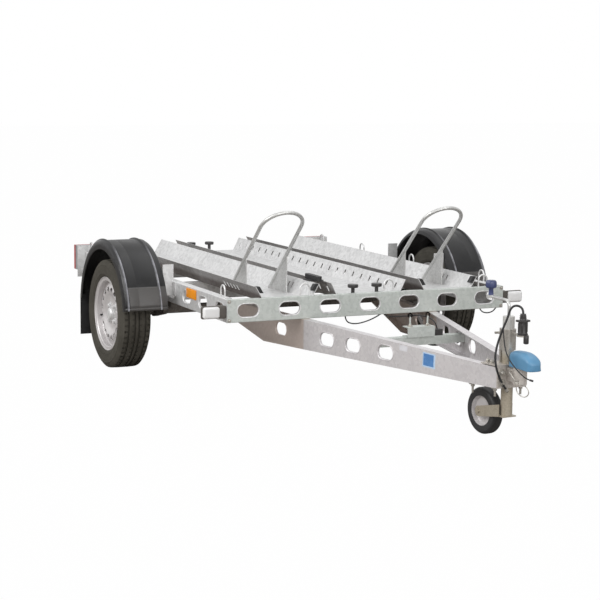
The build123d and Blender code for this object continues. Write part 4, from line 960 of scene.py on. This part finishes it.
def makeKnob():
    shape = knobShape
    bm = bmesh.new()
    place = atMillimetres(*shape["foot"])
    addTurned(bm, millimetres(shape["profile"]), place, Vector((0, 0, 1)), shape["steps"], Vector((1, 0, 0)))
    for vert in bm.verts:
        flat = Vector((vert.co.x - place.x, vert.co.y - place.y, 0))
        if flat.length > shape["flutedFrom"]:
            wave = 0.5 + 0.5 * math.cos(shape["flutes"] * math.atan2(flat.y, flat.x))
            shrink = 1 - shape["fluteDepth"] * (1 - wave) ** 2
            vert.co.x = place.x + flat.x * shrink
            vert.co.y = place.y + flat.y * shrink
    finishPiece("crankKnob.head", bm, navyPlastic, "chassis", 50.0, ("jockey_crank_knob",))


makeKnob()

# connector plug: a ribbed barrel with two lugs, a bayonet ring, a finned gland and a hinged flap
plugShape = {
    "foot": (2267, 0, 447), "steps": 48,
    "barrel": [(0, 0.01), (0, 19.5), (1, 21), (6, 21), (7.5, 19), (9, 19), (10.5, 18.5), (50, 18), (52, 20.5),
               (58, 20.5), (60, 18), (61, 14), (66, 12.5), (67.5, 14.5), (70, 14.5), (71.5, 12), (74, 12), (75.5, 14),
               (78, 13.8), (79.5, 11), (82, 10.5), (83.5, 12.5), (85, 12), (85, 0.01)],
    "fins": 6, "firstFin": 20, "finPlace": (0.0185, 0, 0.030), "finSize": (0.004, 0.006, 0.038), "finRound": 0.001,
    "lugs": ((2254, -27, 500), (2280, 27, 508)),
    "flap": [((2262, -9, 442), (2302, 9, 449), 3), ((2284, -9, 414), (2303, 9, 447), 5)],
}


def makePlug():
    shape = plugShape
    bm = bmesh.new()
    place = atMillimetres(*shape["foot"])
    addTurned(bm, millimetres(shape["barrel"]), place, Vector((0, 0, 1)), shape["steps"], Vector((1, 0, 0)))
    for k in range(shape["fins"]):
        turn = Matrix.Rotation(math.radians(360 / shape["fins"] * k + shape["firstFin"]), 4, "Z")
        spot = place + turn @ Vector(shape["finPlace"])
        base = Matrix.Translation(spot) @ turn @ Matrix.Diagonal((*shape["finSize"], 1))
        roundEdges(bm, bmesh.ops.create_cube(bm, size=1.0, matrix=base)["verts"], shape["finRound"], 2)
    addBlock(bm, *shape["lugs"], 2)
    return finishPiece("connectorPlug.barrel", bm, plugPlastic, "chassis", 30.0, ("connector_plug",))


connectorPlug = makePlug()


# ends of the thin cords: a rubber tip along the strand's last run, and an upright crimp
cordEnds = {
    "tip": [(-8, 0), (-8, 3), (-7, 4), (6, 4), (7.5, 2.8), (8, 0)],
    "crimp": [(-7, 0), (-7, 5.6), (-5.8, 7), (-1.5, 7), (-0.6, 6.51), (0.6, 6.51), (1.5, 7), (5.8, 7), (7, 5.6),
              (7, 0)],
    "crimpPlace": (2289, -35.5, 263),
}


def makeTip():
    before, end = [atMillimetres(*place) for place in cordRoutes["breakawayStrand"]["points"][-2:]]
    bm = bmesh.new()
    addTurned(bm, millimetres(cordEnds["tip"]), end, (end - before).normalized())
    return finishPiece("strandTip", bm, softRubber, "chassis", 50.0, ("breakaway_strand",))


def makeCrimp():
    bm = bmesh.new()
    addTurned(bm, millimetres(cordEnds["crimp"]), atMillimetres(*cordEnds["crimpPlace"]), Vector((0, 0, 1)))
    return finishPiece("wireCrimp", bm, boltZinc, "chassis", 30.0, ("safety_wire",))


strandTip = makeTip()
wireCrimp = makeCrimp()


def makePlugFlap():
    bm = bmesh.new()
    for low, high, corner in plugShape["flap"]:
        addBlock(bm, low, high, corner)
    finishPiece("plugFlap", bm, plugPlastic, "chassis", 40.0)


makePlugFlap()


# lamps: rounded lenses in rubber housings, and a bezel round each reflector
markerShape = {"lens": ((917, 754, 365), (943, 834, 417), 11, 6), "cup": ((908, 750, 362), (930, 838, 420), 9, 5),
               "arm": ((890, 721, 362), (934, 757, 420), 5, 3)}


def makeMarkerLamps():
    for hand, side in sides:
        bm = bmesh.new()
        addSideBlock(bm, hand, *markerShape["lens"])
        finishPiece("markerLens." + side, bm, clearLens, "chassis", 60.0, ("marker_lamp_lenses",))
        bm = bmesh.new()
        for part in ("cup", "arm"):
            addSideBlock(bm, hand, *markerShape[part])
        finishPiece("markerHousing." + side, bm, armRubber, "chassis", 60.0, ("marker_lamp_arms",))


makeMarkerLamps()


# lengths along the trailer are counted from each reflector's middle
reflectorShape = {"middles": (505, -711), "bezel": ((-60, 721, 397), (60, 727, 443)),
                  "lens": ((-55, 723, 401), (55, 729, 439)), "corner": 2.5}


def makeReflectors():
    shape = reflectorShape
    lens, bezel = bmesh.new(), bmesh.new()
    for x in shape["middles"]:
        for hand, side in sides:
            for bm, (low, high) in ((bezel, shape["bezel"]), (lens, shape["lens"])):
                addSideBlock(bm, hand, (x + low[0], *low[1:]), (x + high[0], *high[1:]), shape["corner"])
    finishPiece("reflectorLens", lens, amberLens, "chassis", 50.0, ("side_reflectors",))
    finishPiece("reflectorBezel", bezel, amberLens, "chassis", 50.0)


makeReflectors()

# plain patches on the right beam of the drawbar, square to its outer face: reach in X and Z, how proud, and tint
patchShape = {"slope": 0.2302, "bendX": 965, "bendY": -350, "tilt": 1.6, "sunk": 0.2, "corner": 0.25, "fields": [
    (1757, 1835, 246, 308, 0.6, patchPale), (1762, 1826, 252, 303, 0.9, patchBlue),
    (1612, 1662, 294, 318, 0.5, patchFaint)]}


def makePatches():
    shape = patchShape
    turn = Matrix.Rotation(math.atan(shape["slope"]), 4, "Z") @ Matrix.Rotation(math.radians(shape["tilt"]), 4, "Y")
    for number, (x0, x1, z0, z1, proud, tint) in enumerate(shape["fields"]):
        y = shape["bendY"] + shape["slope"] * ((x0 + x1) / 2 - shape["bendX"])
        bm = bmesh.new()
        addBlock(bm, (x0, y - proud, z0), (x1, y + shape["sunk"], z1), shape["corner"], 1, turn)
        finishPiece("beamPatch%d" % number, bm, tint, "chassis")


makePatches()

# eyes on the tie's two bolts, with nuts under them
eyeShape = {"x": 1388, "y": (-29, 59), "eyeZ": 404, "eye": 0.009, "wire": 0.0032, "wireSides": 12, "steps": 28,
            "nutZ": 355, "nutAcross": 0.014, "nutHeight": 0.007}


def makeEyes():
    shape = eyeShape
    bm = bmesh.new()
    for y in shape["y"]:
        centre = atMillimetres(shape["x"], y, shape["eyeZ"])
        base = Matrix.Translation(centre + Vector((0, 0, shape["eye"]))) @ Matrix.Rotation(math.pi / 2, 4, "Y")
        ring = bmesh.ops.create_circle(bm, segments=shape["wireSides"], radius=shape["wire"], matrix=base)["verts"]
        bmesh.ops.spin(bm, geom=ring + edgesOf(ring), cent=centre, axis=(1, 0, 0), angle=2 * math.pi,
                       steps=shape["steps"], use_merge=True)
        addHexBolt(bm, atMillimetres(shape["x"], y, shape["nutZ"]), Vector((0, 0, 1)), shape["nutAcross"],
                   shape["nutHeight"])
    finishPiece("tieEyes", bm, boltZinc, "chassis", 50.0)


makeEyes()
print("fittings made")

# floor and light
stageLook = {"halfSize": 30.0, "floorColour": (0.36, 0.34, 0.32), "whiteShare": 0.992, "worldLight": 0.5,
             "glossyShare": 0.85}


def makeStage(look):
    bm = bmesh.new()
    bmesh.ops.create_grid(bm, x_segments=1, y_segments=1, size=look["halfSize"])
    data = bpy.data.meshes.new("paleFloor")
    bm.to_mesh(data)
    bm.free()
    floor = bpy.data.objects.new("paleFloor", data)
    scene.collection.objects.link(floor)
    material = bpy.data.materials.new("floorPale")
    material.use_nodes = True
    tree = material.node_tree
    tree.nodes.clear()
    out = addNode(tree, "ShaderNodeOutputMaterial")
    matt = addNode(tree, "ShaderNodeBsdfDiffuse", {"Color": (*look["floorColour"], 1)})
    white = addNode(tree, "ShaderNodeEmission", {"Color": (1, 1, 1, 1), "Strength": 1.0})
    blend = addNode(tree, "ShaderNodeMixShader")
    rays = addNode(tree, "ShaderNodeLightPath")
    seen = mathNode(tree, "MULTIPLY", rays.outputs["Is Camera Ray"], look["whiteShare"])
    tree.links.new(seen, blend.inputs["Fac"])
    tree.links.new(matt.outputs["BSDF"], blend.inputs[1])
    tree.links.new(white.outputs["Emission"], blend.inputs[2])
    tree.links.new(blend.outputs["Shader"], out.inputs["Surface"])
    data.materials.append(material)

    world = bpy.data.worlds.new("studioWorld")
    scene.world = world
    world.use_nodes = True
    tree = world.node_tree
    sky = tree.nodes["Background"]
    rays = addNode(tree, "ShaderNodeLightPath")
    shown = mathNode(tree, "MAXIMUM", rays.outputs["Is Camera Ray"], rays.outputs["Is Transmission Ray"])
    glossy = mathNode(tree, "MULTIPLY", rays.outputs["Is Glossy Ray"], look["glossyShare"])
    shown = mathNode(tree, "MAXIMUM", shown, glossy)
    rest = 1 - look["worldLight"]
    strength = mathNode(tree, "ADD", mathNode(tree, "MULTIPLY", shown, rest), look["worldLight"])
    tree.links.new(strength, sky.inputs["Strength"])
    sky.inputs["Color"].default_value = (1, 1, 1, 1)


def softLamp(name, place, target, size, power):
    data = bpy.data.lights.new(name, "AREA")
    data.shape = "RECTANGLE"
    data.size, data.size_y = size
    data.energy = power
    lamp = bpy.data.objects.new(name, data)
    scene.collection.objects.link(lamp)
    spot = at(*place)
    turn = (at(*target) - spot).to_track_quat("-Z", "Y").to_matrix().to_4x4()
    lamp.matrix_world = Matrix.Translation(spot) @ turn


makeStage(stageLook)
lamps = {
    "sideLamp": {"place": (1.0, -5.6, 3.6), "target": (0.5, 0, 0.3), "size": (4.0, 2.6), "power": 230},
    "frontLamp": {"place": (7.6, -0.6, 2.8), "target": (0.8, 0, 0.3), "size": (7.0, 4.0), "power": 240},
    "topLamp": {"place": (0.2, 1.2, 5.5), "target": (0.4, 0, 0.3), "size": (5.0, 3.5), "power": 70},
}
for name, lamp in lamps.items():
    softLamp(name, **lamp)
scene.view_settings.view_transform = "Standard"
print("stage set")
